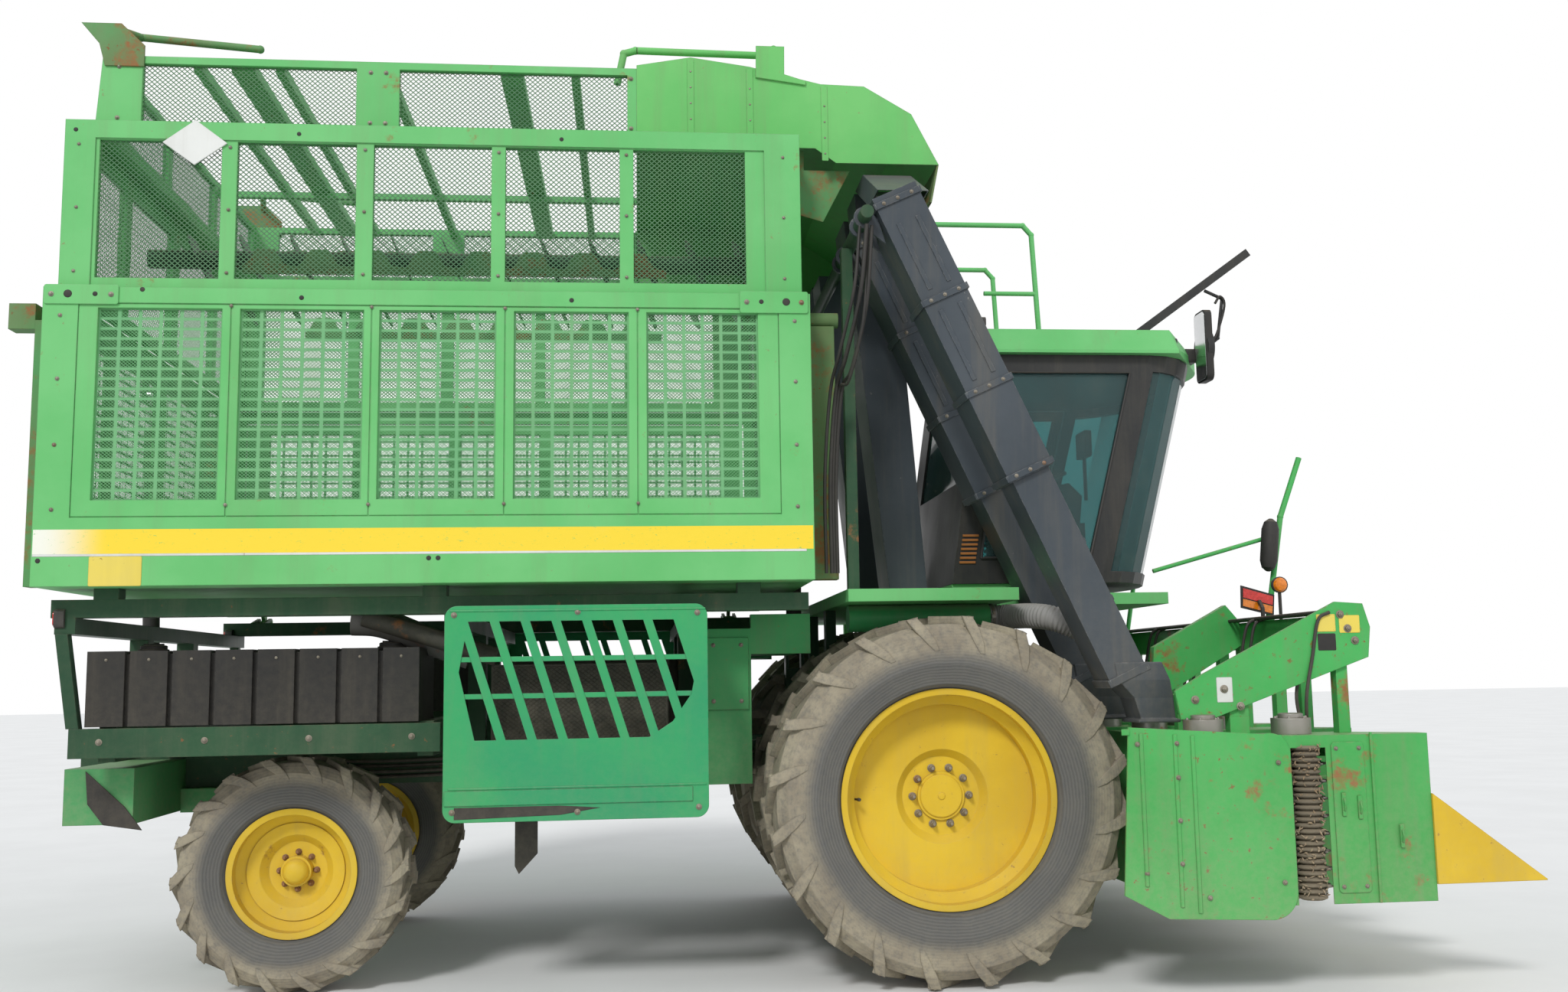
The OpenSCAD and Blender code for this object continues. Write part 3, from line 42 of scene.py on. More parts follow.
# Sizes that several pieces share, in metres. X is counted from the front axle, and Y is to the machine's left.
AX = 0.9895                                 # station of the front axle in the shared frame
WHEELBASE, FRONT_R, REAR_R = 3.35, 0.935, 0.6
POST_Y, SHEET_Y = 1.75, 1.7285              # basket: outer face of the posts, and the pressed sheets between them
MESH_Y, ROOF_Y = 1.6785, 1.48               # basket: expanded sheets of the extension, and those of the roof
LOWER_Z, UPPER_Z, ROOF_Z = (2.476, 3.441), (3.61, 4.33), (4.5, 4.82)
HOOD_Y, SHIELD_Y, TANK_Y, DECK_Z = 1.5, 1.84, 1.6, 2.02
COVER_Y, CABINET_Y = -2.312, -2.3           # outer faces of the right-hand row unit's cover and cabinet
DRUM_X, DRUM_Y = (1.18, 1.628), -0.2225     # a row's spindle drums: stations, and offset from the row's middle
SIDES = (("right", -1), ("left", 1))


# ---------------------------------------------------------------- camera and light
def camera():
    place, lens_mm = (-1.58 + AX, -9.16, 1.56), 33.66
    yaw, pitch, roll = (math.radians(a) for a in (5.8, 7.07, 0.93))
    look = Vector((math.sin(yaw) * math.cos(pitch), math.cos(yaw) * math.cos(pitch), math.sin(pitch)))
    right = Vector((math.cos(yaw), -math.sin(yaw), 0))
    up = right.cross(look)
    r = math.cos(roll) * right - math.sin(roll) * up
    u = math.sin(roll) * right + math.cos(roll) * up
    data = bpy.data.cameras.new("camera")
    data.lens, data.sensor_width = lens_mm, 36
    data.clip_end = 400
    cam = bpy.data.objects.new("camera", data)
    cam.matrix_world = Matrix.Translation(place) @ Matrix((r, u, -look)).transposed().to_4x4()
    bpy.context.collection.objects.link(cam)
    bpy.context.scene.camera = cam


def lights():
    """A soft sky that camera, mirror and glass rays see as white, a broad sun and a fill."""
    world = bpy.context.scene.world = bpy.data.worlds.new("sky")
    t = Tree(world)
    path = t.node("LightPath").outputs
    seen = path["Is Camera Ray"]
    for ray in ("Is Glossy Ray", "Is Transmission Ray"):
        seen = t.math("MAXIMUM", seen, path[ray])
    sky, white = t.node("Background", (0.93, 0.96, 1), 0.62), t.node("Background", (1, 1, 1), 1.0)
    t.node("OutputWorld", t.node("MixShader", seen, sky.outputs[0], white.outputs[0]).outputs[0])
    for name, strength, angle, turn in (("sun", 1.7, 12, (52, 4, -28)), ("fill", 0.5, 60, (68, 0, 40))):
        lamp = bpy.data.lights.new(name, "SUN")
        lamp.energy, lamp.angle = strength, math.radians(angle)
        o = bpy.data.objects.new(name, lamp)
        o.rotation_euler = [math.radians(a) for a in turn]
        bpy.context.collection.objects.link(o)


# ---------------------------------------------------------------- materials
class Tree:
    """Adds shader nodes to a world's or material's tree and links them."""
    def __init__(self, owner):
        owner.use_nodes = True
        self.t = owner.node_tree
        self.t.nodes.clear()

    def put(self, socket, value):
        if value is None:
            return
        if hasattr(value, "is_output"):
            self.t.links.new(value, socket)
        elif hasattr(value, "__len__") and len(value) == 3 and socket.type == "RGBA":
            socket.default_value = (*value, 1)
        else:
            socket.default_value = value

    def node(self, kind, *inputs, setup=(), **named):
        """A node with its properties, its first inputs in order, and others by name."""
        n = self.t.nodes.new("ShaderNode" + kind)
        for key, value in setup:
            setattr(n, key, value)
        for socket, value in zip(n.inputs, inputs):
            self.put(socket, value)
        for key, value in named.items():
            self.put(n.inputs[key], value)
        return n

    def math(self, op, a, b=0.0):
        return self.node("Math", a, b, setup=[("operation", op)]).outputs[0]


class Graph(Tree):
    """A material round a Principled shader."""
    def __init__(self, name):
        self.mat = bpy.data.materials.new(name)
        super().__init__(self.mat)
        self.bsdf = self.node("BsdfPrincipled")
        self.out = self.node("OutputMaterial", self.bsdf.outputs[0])
        self.coord = self.node("TexCoord").outputs["Object"]

    def base(self, colour, rough):
        self.put(self.bsdf.inputs["Base Color"], colour)
        self.put(self.bsdf.inputs["Roughness"], rough)

    def noise(self, scale, detail=6, stretch=(1, 1, 1), shift=0.0, rough=0.6):
        m = self.node("Mapping", self.coord, Location=(shift, shift * 1.7, shift * 0.6), Scale=stretch)
        return self.node("TexNoise", m.outputs[0], Scale=scale, Detail=detail, Roughness=rough).outputs["Fac"]

    def remap(self, x, a, b, c=0.0, d=1.0):
        return self.node("MapRange", x, a, b, c, d, setup=[("interpolation_type", "SMOOTHSTEP")]).outputs[0]

    def vector(self, op, a, b=None):
        return self.node("VectorMath", a, b, setup=[("operation", op)])

    def mix(self, fac, a, b):
        n = self.node("Mix", fac, setup=[("data_type", "RGBA")])
        self.put(n.inputs[6], a)
        self.put(n.inputs[7], b)
        return n.outputs[2]

    def axis(self, which, vector=None):
        return self.node("SeparateXYZ", self.coord if vector is None else vector).outputs[which]

    def edges(self, radius):
        """1 on outer edges and corners, 0 on flat faces, and the rounded normal."""
        b = self.node("Bevel", radius, setup=[("samples", 3)])
        d = self.vector("DOT_PRODUCT", b.outputs[0], self.node("NewGeometry").outputs["Normal"])
        return self.remap(d.outputs["Value"], 0.985, 0.86), b.outputs[0]

    def up(self):
        """1 on faces that look up."""
        return self.remap(self.axis(2, self.node("NewGeometry").outputs["Normal"]), 0.35, 0.95)

    def bump(self, height, strength, distance=0.002, normal=None):
        b = self.node("Bump", Strength=strength, Distance=distance, Height=height, Normal=normal)
        self.put(self.bsdf.inputs["Normal"], b.outputs[0])


DUST = (0.42, 0.35, 0.24)
RUST, FRESH_RUST = (0.2, 0.075, 0.022), (0.33, 0.13, 0.045)


def surface(name, base, alt=None, rough=0.5, metal=0.0, dust=0.25, low=1.3, streak=0.25, rust=0.0, chips=0.0,
            chip_col=RUST, edge=0.5, edge_col=(0.3, 0.31, 0.3), radius=0.006, grain=240, bump=0.12, shift=0.0,
            scale=1.4):
    """Painted or bare metal with fading, run marks, dust below the height low, rust spots and worn edges."""
    g = Graph(name)
    broad = g.noise(scale, 8, shift=shift)
    fine = g.noise(26, 10, shift=shift + 3, rough=0.7)
    runs = g.noise(7, 8, (1, 1, 0.07), shift + 5, 0.65)
    colour = g.mix(g.remap(broad, 0.32, 0.68), base, alt or tuple(c * 0.86 for c in base))
    if streak:
        colour = g.mix(g.math("MULTIPLY", g.remap(runs, 0.46, 0.72), streak), colour,
                       tuple(0.55 * c + 0.25 * d for c, d in zip(base, DUST)))
    if chips:
        spots = g.math("MULTIPLY", g.remap(fine, 0.7 - chips * 0.1, 0.74 - chips * 0.1), g.remap(broad, 0.35, 0.6))
        colour = g.mix(g.math("MULTIPLY", spots, 0.85), colour, chip_col)
    if rust:
        blotch = g.noise(3.1, 12, shift=shift + 9, rough=0.72)
        patch = g.math("MULTIPLY", g.remap(blotch, 0.62 - rust * 0.14, 0.7 - rust * 0.1),
                       g.remap(fine, 0.3, 0.6, 0.3, 1.0))
        colour = g.mix(patch, colour, g.mix(fine, RUST, FRESH_RUST))
    normal = None
    if edge:
        mask, normal = g.edges(radius)
        colour = g.mix(g.math("MULTIPLY", mask, g.remap(fine, 0.42, 0.62, 0, edge)), colour, edge_col)
    powder = g.math("MULTIPLY", g.remap(g.axis(2), low + 0.9, low - 0.9, 0.12, 1.0),
                    g.remap(fine, 0.25, 0.75, 0.35, 1.0))
    powder = g.math("MULTIPLY", g.math("MAXIMUM", powder, g.math("MULTIPLY", g.up(), 0.75)), dust)
    g.base(g.mix(powder, colour, DUST), g.math("ADD", g.remap(broad, 0.2, 0.8, rough - 0.09, rough + 0.12),
                                               g.math("MULTIPLY", powder, 0.35)))
    g.bsdf.inputs["Metallic"].default_value = metal
    g.bsdf.inputs["Specular IOR Level"].default_value = 0.5 if metal else 0.22
    g.bump(g.math("ADD", g.noise(grain, 4), g.math("MULTIPLY", fine, 1.4)), bump, 0.0015, normal)
    return g.mat


def rubber(name, centre, wall, crown):
    """Tyre rubber: a scuffed charcoal wall out to the radius wall, then dry mud on the shoulders and lugs."""
    g = Graph(name)
    fine, broad = g.noise(34, 10, rough=0.7), g.noise(4.5, 8)
    arm = g.vector("MULTIPLY", g.vector("SUBTRACT", g.coord, centre).outputs[0], (1, 0, 1)).outputs[0]
    r = g.vector("LENGTH", arm).outputs["Value"]
    mud = g.mix(g.remap(broad, 0.3, 0.7), (0.37, 0.325, 0.235), (0.25, 0.215, 0.16))
    rings = g.math("SINE", g.math("MULTIPLY", g.math("ADD", r, g.math("MULTIPLY", broad, 0.03)), 420))
    charcoal = g.mix(g.remap(rings, -1, 1), (0.086, 0.088, 0.09), (0.118, 0.12, 0.118))
    reach = g.remap(g.math("ADD", r, g.math("MULTIPLY", broad, 0.06)), wall, crown, 0.16, 1.0)
    amount = g.math("MULTIPLY", reach, g.remap(fine, 0.28, 0.6, 0.5, 0.97))
    mask, normal = g.edges(0.008)
    colour = g.mix(g.math("MULTIPLY", mask, 0.3), g.mix(amount, charcoal, mud), (0.12, 0.11, 0.095))
    g.base(colour, g.remap(fine, 0.2, 0.8, 0.78, 0.96))
    g.bsdf.inputs["Specular IOR Level"].default_value = 0.2
    g.bump(g.math("ADD", g.math("MULTIPLY", rings, 0.15), fine), 0.5, 0.003, normal)
    return g.mat


def glass(name, tint):
    g = Graph(name)
    dirt = g.remap(g.noise(5, 10, rough=0.7), 0.45, 0.85, 0.0, 0.35)
    g.base(g.mix(dirt, tuple(c * 0.35 for c in tint), (0.5, 0.47, 0.4)), g.remap(dirt, 0, 0.35, 0.03, 0.3))
    shine = g.math("MAXIMUM", g.remap(g.node("Fresnel", 1.5).outputs[0], 0, 1, 0.22, 1.0), dirt)
    clear = g.node("BsdfTransparent", tint)
    g.put(g.out.inputs[0], g.node("MixShader", shine, clear.outputs[0], g.bsdf.outputs[0]).outputs[0])
    return g.mat


def cloth(name, base):
    g = Graph(name)
    weave = [g.node("TexWave", g.coord, Scale=160, Distortion=bend, setup=[("bands_direction", way)]).outputs["Fac"]
             for way, bend in (("X", 1.5), ("Z", 0))]
    g.base(g.mix(g.remap(g.noise(7, 6), 0.3, 0.7), base, tuple(c * 1.6 for c in base)), 0.9)
    g.bsdf.inputs["Sheen Weight"].default_value = 0.2
    g.bump(g.math("MULTIPLY", *weave), 0.3, 0.0008)
    return g.mat


def lens(name, base):
    g = Graph(name)
    rings = g.noise(60, 3)
    g.base(g.mix(g.remap(rings, 0.3, 0.7), base, tuple(c * 0.7 for c in base)), g.remap(rings, 0.3, 0.7, 0.12, 0.25))
    g.bump(rings, 0.3, 0.001)
    return g.mat


def stripe_paint(name, base, under, fade_from, fade_to):
    """Sun-bleached tape: whiter towards one end, chipped to the paint under it."""
    g = Graph(name)
    fine = g.noise(38, 10, (1, 1, 2.2), rough=0.75)
    end = g.remap(g.axis(0), fade_from, fade_to)
    pale = g.math("MAXIMUM", end, g.remap(g.noise(2.2, 6), 0.6, 0.8, 0, 0.2))
    gone = g.math("MULTIPLY", g.remap(fine, 0.6, 0.66), g.remap(end, 0, 1, 0.75, 1.0))
    g.base(g.mix(gone, g.mix(pale, base, (0.8, 0.8, 0.7)), under), g.remap(fine, 0.2, 0.8, 0.45, 0.7))
    g.bump(g.math("ADD", fine, g.noise(240, 3)), 0.15, 0.001)
    return g.mat


BASKET = (0.118, 0.455, 0.14)
mats = {
    "basket": surface("basket_green", BASKET, (0.16, 0.51, 0.178), 0.52, dust=0.14, low=1.0, streak=0.35,
                      rust=0.05, chips=0.5, chip_col=(0.24, 0.17, 0.08), edge=0.55, edge_col=(0.36, 0.4, 0.3)),
    "mesh": surface("mesh_green", (0.135, 0.375, 0.165), (0.175, 0.425, 0.195), 0.6, dust=0.12, streak=0.3, edge=0,
                    shift=2),
    "strands": surface("strand_green", (0.06, 0.15, 0.075), (0.095, 0.205, 0.105), 0.6, dust=0.12, streak=0.2,
                       edge=0, shift=3),
    "hood": surface("hood_green", (0.12, 0.455, 0.12), (0.165, 0.51, 0.15), 0.5, dust=0.12, low=0, streak=0.5,
                    chips=0.5, chip_col=(0.25, 0.2, 0.1), edge=0.7, edge_col=(0.42, 0.42, 0.28), shift=4),
    "shield": surface("shield_green", (0.018, 0.29, 0.12), (0.028, 0.34, 0.115), 0.36, dust=0.5, low=0.45,
                      streak=0.3, chips=0.4, chip_col=(0.04, 0.05, 0.04), edge=0.6, edge_col=(0.28, 0.33, 0.26),
                      shift=6),
    # Chassis green painted as dark as the frame looks in the shade under the basket: its base and second colour are
    # painted shade, while its rust, chips, worn edges and dust are real wear and dirt
    "dark": surface("chassis_green_painted_shade", (0.012, 0.055, 0.026), (0.018, 0.078, 0.034), 0.45, dust=0.38, low=0.55,
                    streak=0.3, rust=0.12, chips=0.6, edge=0.6, edge_col=(0.17, 0.13, 0.09), shift=8),
    "beams": surface("beam_green", (0.085, 0.3, 0.1), (0.13, 0.2, 0.08), 0.6, dust=0.2, low=0, streak=0.5,
                     rust=0.75, chips=0.9, edge=0.6, edge_col=(0.26, 0.15, 0.07), shift=5),
    "panel": surface("panel_green", (0.03, 0.265, 0.085), (0.045, 0.33, 0.1), 0.45, dust=0.45, low=1.0,
                     streak=0.4, chips=0.6, edge=0.7, edge_col=(0.24, 0.22, 0.14), shift=7),
    "white": surface("white_paint", (0.72, 0.73, 0.7), (0.6, 0.61, 0.58), 0.5, dust=0.2, streak=0.4, chips=0.4,
                     edge=0.4, shift=37),
    "cab": surface("cab_black", (0.02, 0.022, 0.024), (0.035, 0.036, 0.036), 0.42, dust=0.25, low=1.0, edge=0.3,
                   shift=10),
    "duct": surface("duct_black", (0.044, 0.056, 0.068), (0.062, 0.075, 0.088), 0.38, dust=0.16, low=1.5,
                    streak=0.5, chips=0.35, chip_col=(0.26, 0.26, 0.24), edge=0.7, edge_col=(0.34, 0.34, 0.33),
                    shift=12),
    "plastic": surface("tank_plastic", (0.012, 0.013, 0.014), (0.022, 0.022, 0.022), 0.55, dust=0.28, low=1.0,
                       streak=0.2, edge=0.35, edge_col=(0.14, 0.13, 0.12), shift=14),
    "header": surface("header_green", (0.04, 0.35, 0.075), (0.062, 0.41, 0.1), 0.45, dust=0.42, low=0.7,
                      streak=0.5, rust=0.36, chips=0.9, edge=0.8, edge_col=(0.33, 0.26, 0.16), shift=16),
    "yellow": surface("rim_yellow", (0.74, 0.5, 0.022), (0.62, 0.4, 0.02), 0.48, dust=0.26, low=0.5, streak=0.35,
                      rust=0.06, chips=0.6, chip_col=(0.25, 0.12, 0.04), edge=0.5, edge_col=(0.45, 0.36, 0.18),
                      shift=18),
    "steel": surface("worn_steel", (0.34, 0.33, 0.31), (0.25, 0.23, 0.2), 0.42, 0.75, dust=0.35, low=0.7,
                     streak=0.2, rust=0.3, edge=0.5, edge_col=(0.5, 0.5, 0.5), shift=20),
    "chrome": surface("rod_chrome", (0.72, 0.73, 0.74), (0.6, 0.61, 0.62), 0.18, 1.0, dust=0.1, streak=0.2, edge=0,
                      shift=22),
    "bolt": surface("bolt_zinc", (0.3, 0.27, 0.22), (0.2, 0.17, 0.13), 0.5, 0.6, dust=0.25, rust=0.4, edge=0.4,
                    shift=24),
    "rust": surface("rusty_iron", (0.2, 0.085, 0.035), (0.3, 0.14, 0.06), 0.8, dust=0.2, rust=0.6, streak=0.4,
                    edge=0.3, shift=26),
    "black": surface("black_iron", (0.018, 0.018, 0.019), (0.035, 0.034, 0.033), 0.55, dust=0.22, low=0.8, edge=0.4,
                     edge_col=(0.15, 0.13, 0.11), shift=28),
    "exhaust": surface("exhaust_steel", (0.13, 0.13, 0.125), (0.21, 0.205, 0.19), 0.6, 0.2, dust=0.3, low=0,
                       streak=0.4, rust=0.1, edge=0.5, shift=29),
    "engine": surface("engine_iron", (0.035, 0.04, 0.036), (0.055, 0.058, 0.05), 0.6, dust=0.35, low=1.6, rust=0.2,
                      shift=30),
    "hose": surface("hose_grey", (0.27, 0.27, 0.265), (0.36, 0.355, 0.345), 0.6, dust=0.3, low=1.6, streak=0.1,
                    edge=0, shift=32, bump=0.2),
    "line": surface("line_rubber", (0.022, 0.022, 0.023), (0.04, 0.038, 0.036), 0.5, dust=0.25, low=1.3, edge=0,
                    shift=34),
    "yplate": surface("yellow_plate", (0.8, 0.62, 0.07), (0.72, 0.58, 0.12), 0.45, dust=0.15, chips=0.5, edge=0.3,
                      shift=38),
    "bristle": surface("bristles", (0.045, 0.04, 0.034), (0.12, 0.1, 0.075), 0.85, dust=0.55, low=0.8, edge=0,
                       shift=40),
    "lint": surface("dry_lint", (0.42, 0.34, 0.24), (0.25, 0.17, 0.1), 0.9, dust=0.3, edge=0, shift=41),
    "lamp_body": surface("lamp_body", (0.03, 0.03, 0.032), (0.05, 0.05, 0.05), 0.4, dust=0.2, edge=0.3, shift=42),
    "tyre_f": rubber("front_tyre_rubber", (AX, 0, FRONT_R), 0.715, 0.815),
    "tyre_r": rubber("rear_tyre_rubber", (AX - WHEELBASE, 0, REAR_R), 0.455, 0.535),
    "glass": glass("teal_glass", (0.42, 0.7, 0.7)),
    "cloth": cloth("seat_cloth", (0.035, 0.036, 0.04)),
    "red": lens("red_lens", (0.62, 0.02, 0.012)),
    "amber": lens("amber_lens", (0.8, 0.22, 0.01)),
    "clear": lens("clear_lens", (0.75, 0.77, 0.78)),
    "orange": surface("vent_orange", (0.42, 0.15, 0.03), (0.3, 0.11, 0.03), 0.6, dust=0.3, edge=0.3, shift=44),
    "stripe": stripe_paint("stripe_yellow", (0.84, 0.61, 0.025), BASKET, -3.15, -3.48),
    "stripe_left": stripe_paint("stripe_yellow_left", (0.84, 0.61, 0.025), BASKET, 1.2, 1.4),
}

LOOK = {
    "basket": "basket_walls extension_frame dump_door platform cab_roof",
    "mesh": "basket_mesh dump_door_mesh",
    "hood": "hood",
    "shield": "engine_shields",
    "beams": "basket_beams",
    "panel": "body_panels",
    # frame, axles, augers, lift arms and knuckles take the chassis green with its painted shade
    "dark": "frame axles augers lift_arms knuckle_right knuckle_left",
    "cab": "cab_frame cab_door mirrors",
    "duct": "upper_ducts lower_ducts inner_ducts",
    "plastic": "ribbed_tanks",
    "header": "header_frame unit_cabinets",
    "yellow": "row_dividers front_rims_right front_rims_left rear_rim_right rear_rim_left",
    "steel": "unit_drums",
    "black": "tilt_barrels lift_barrels",
    "chrome": "tilt_rods lift_rods",
    "engine": "engine",
    "tyre_f": "front_tyres_right front_tyres_left",
    "tyre_r": "rear_tyre_right rear_tyre_left",
    "glass": "cab_glass cab_door_glass",
    "cloth": "cab_seat",
    "hose": "air_hose",
}
for key, names in LOOK.items():
    for n in names.split():
        NODES[n].data.materials.clear()
        NODES[n].data.materials.append(mats[key])

# Material slot of a new piece, by its material here; done() looks it up but keeps it nowhere
SLOT = {key: slot for slot, keys in {
    "faded_green": "basket mesh strands hood header shield", "dark_green": "beams", "grey_rubber": "hose",
    "worn_steel": "bolt steel rust", "yellow_paint": "stripe stripe_left yplate yellow white",
    "black_paint": "black line bristle lint engine duct cab exhaust orange", "black_plastic": "plastic lamp_body",
    "cab_glass": "clear red amber chrome"}.items() for key in keys.split()}


# ---------------------------------------------------------------- mesh building
def square_to(d):
    """A direction square to d."""
    return d.cross(Vector((0, 0, 1)) if abs(d.z) < 0.9 else Vector((1, 0, 0))).normalized()


def circle(r, n):
    """n points (u, w) evenly round a circle."""
    return [(r * math.cos(a), r * math.sin(a)) for a in (2 * math.pi * k / n for k in range(n))]


class Build:
    """Gathers vertices and faces in metres, X counted from the front axle, until done() makes the piece of them."""
    def __init__(self):
        self.v, self.f = [], []

    def add(self, v, f):
        n = len(self.v)
        self.v += [tuple(p) for p in v]
        self.f += [tuple(i + n for i in q) for q in f]

    def box(self, lo, hi):
        v = [(x, y, z) for z in (lo[2], hi[2]) for y in (lo[1], hi[1]) for x in (lo[0], hi[0])]
        self.add(v, [(0, 2, 3, 1), (4, 5, 7, 6), (0, 1, 5, 4), (2, 6, 7, 3), (0, 4, 6, 2), (1, 3, 7, 5)])

    def plate(self, outline, axis, a, b):
        """An outline in the two other axes, made thick from a to b along axis."""
        n = len(outline)
        v = [(*p[:axis], h, *p[axis:]) for h in (a, b) for p in outline]
        f = [tuple(range(n - 1, -1, -1)), tuple(range(n, 2 * n))]
        self.add(v, f + [(i, (i + 1) % n, n + (i + 1) % n, n + i) for i in range(n)])

    def rings(self, rows, n, closed=True):
        """Faces over rows of n points: (middle, radius, and the two directions of the row's plane)."""
        first, last = len(self.v), len(self.v) + (len(rows) - 1) * n
        for c, r, side, w in rows:
            self.v += [tuple(c + r * (u * side + t * w)) for u, t in circle(1, n)]
        for i in range(first, last, n):
            self.f += [(i + k, i + (k + 1) % n, i + n + (k + 1) % n, i + n + k) for k in range(n)]
        if closed:
            self.f += [tuple(first + k for k in range(n - 1, -1, -1)), tuple(last + k for k in range(n))]

    def tube(self, pts, r, n=10, closed=True):
        """A tube along a path. r is one radius or one for each point."""
        pts = [Vector(p) for p in pts]
        rs = r if hasattr(r, "__len__") else [r] * len(pts)
        side, rows = None, []
        for i, p in enumerate(pts):
            d = (pts[min(i + 1, len(pts) - 1)] - pts[max(i - 1, 0)]).normalized()
            side = side or square_to(d)
            side = (side - d * side.dot(d)).normalized()
            rows.append((p, rs[i], side, d.cross(side)))
        self.rings(rows, n, closed)

    def turned(self, p, axis, profile, n=16):
        """A turned form from (height along axis, radius) pairs."""
        a = Vector(axis).normalized()
        s = square_to(a)
        self.rings([(Vector(p) + a * h, max(r, 1e-5), s, a.cross(s)) for h, r in profile], n)

    def bolt(self, p, axis, r, h):
        """A washer, a hexagon head and the end of the thread."""
        a = Vector(axis).normalized()
        self.turned(p, a, [(-0.002, r * 1.5), (0.002, r * 1.5), (0.0025, r * 1.35)], 14)
        self.turned(Vector(p) + a * 0.0025, a, [(0, r), (h * 0.85, r), (h, r * 0.82)], 6)
        self.turned(Vector(p) + a * h, a, [(0, r * 0.5), (h * 0.5, r * 0.5), (h * 0.6, r * 0.35)], 8)

    def bolts(self, spots, y, r, h, s=-1):
        """Bolts at the (x, z) spots of a face at y that looks to the side s."""
        for x, z in spots:
            self.bolt((x, y, z), (0, s, 0), r, h)

    def done(self, name, mat, body="chassis", slot=None, replaces=(), smooth=35, bevel=0.0):
        me = bpy.data.meshes.new(name)
        me.from_pydata([(x + AX, y, z) for x, y, z in self.v], [], self.f)
        me.validate()
        me.materials.append(mats[mat])
        if smooth:
            me.shade_smooth()
            me.set_sharp_from_angle(angle=math.radians(smooth))
        o = bpy.data.objects.new(name, me)
        bpy.context.collection.objects.link(o)
        if bevel:
            m = o.modifiers.new("edge", "BEVEL")
            m.width, m.segments, m.limit_method = bevel, 2, "ANGLE"
        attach(o, body)
        slot = slot or SLOT.get(mat)
        if replaces:
            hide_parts(*replaces)
        self.v, self.f = [], []


def grid(xs, zs):
    return [(x, z) for x in xs for z in zs]


def arc(c, r, a0, a1, n):
    return [(c[0] + r * math.cos(math.radians(a0 + (a1 - a0) * i / n)),
             c[1] + r * math.sin(math.radians(a0 + (a1 - a0) * i / n))) for i in range(n + 1)]


def rounded(x0, z0, x1, z1, r, n=5):
    return (arc((x1 - r, z0 + r), r, -90, 0, n) + arc((x1 - r, z1 - r), r, 0, 90, n)
            + arc((x0 + r, z1 - r), r, 90, 180, n) + arc((x0 + r, z0 + r), r, 180, 270, n))


def spline(pts, steps):
    """A Catmull-Rom curve through the points."""
    p = [Vector(q) for q in pts]
    p = [2 * p[0] - p[1]] + p + [2 * p[-1] - p[-2]]
    out = []
    for i in range(1, len(p) - 2):
        for k in range(steps):
            t = k / steps
            out.append(0.5 * ((2 * p[i]) + (p[i + 1] - p[i - 1]) * t
                              + (2 * p[i - 1] - 5 * p[i] + 4 * p[i + 1] - p[i + 2]) * t * t
                              + (3 * p[i] - 3 * p[i + 1] + p[i + 2] - p[i - 1]) * t ** 3))
    return out + [p[-2]]


# ---------------------------------------------------------------- basket sheets
# Spans along X of the lower panels and of the upper openings, and spans along Y of the ends' openings
PANELS = [(-4.237, -3.639), (-3.552, -2.946), (-2.869, -2.287), (-2.197, -1.616), (-1.524, -0.949)]
MESH = [(-4.281, -3.68), (-3.603, -3.008), (-2.921, -2.322), (-2.25, -1.661), (-1.588, -1.001)]
ENDS = [(-1.64, -0.9), (-0.82, -0.06), (0.06, 0.82), (0.9, 1.64)]


def diamonds(b, u, w, nu, nw, t, put):
    """Strands that zigzag and touch, as in expanded metal."""
    h = (w[1] - w[0]) / nw
    for k in range(nw + 1):
        n = len(b.v)
        for i in range(nu + 1):
            s = 1 if (i + k) % 2 else -1
            x = u[0] + (u[1] - u[0]) * i / nu
            z = min(max(w[0] + k * h + s * h * 0.46, w[0]), w[1])
            b.v += [put(x, z - t / 2, -0.0011), put(x, z + t / 2, 0.0011)]
        b.f += [(n + 2 * i, n + 2 * i + 2, n + 2 * i + 3, n + 2 * i + 1) for i in range(nu)]


def expanded(b, u, w, put):
    diamonds(b, u, w, max(2, round((u[1] - u[0]) / 0.01375)), max(2, round((w[1] - w[0]) / 0.0125)), 0.007, put)


def perforated(b, u, w, put):
    """A sheet pressed with blocks of small diamond holes, with plain bands between the blocks."""
    cols, rows = max(1, round((u[1] - u[0]) / 0.1)), max(1, round((w[1] - w[0]) / 0.0508))
    pu, pw = (u[1] - u[0]) / cols, (w[1] - w[0]) / rows
    bu, bw = pu * 0.09, pw * 0.11

    def quad(a, c, e, g):
        b.add([put(a, e, 0), put(c, e, 0), put(c, g, 0), put(a, g, 0)], [(0, 1, 2, 3)])
    for i in range(cols + 1):
        x = u[0] + i * pu
        quad(max(x - bu, u[0]), min(x + bu, u[1]), w[0], w[1])
    for i in range(cols):
        x0, x1 = u[0] + i * pu + bu, u[0] + (i + 1) * pu - bu
        for k in range(rows + 1):
            z = w[0] + k * pw
            quad(x0, x1, max(z - bw, w[0]), min(z + bw, w[1]))
        for k in range(rows):
            diamonds(b, (x0, x1), (w[0] + k * pw + bw, w[0] + (k + 1) * pw - bw), 9, 5, 0.0037, put)


def on_side(y):
    return lambda u, w, s: (u, y + s, w)


def on_end(x):
    return lambda u, w, s: (x + s, u, w)


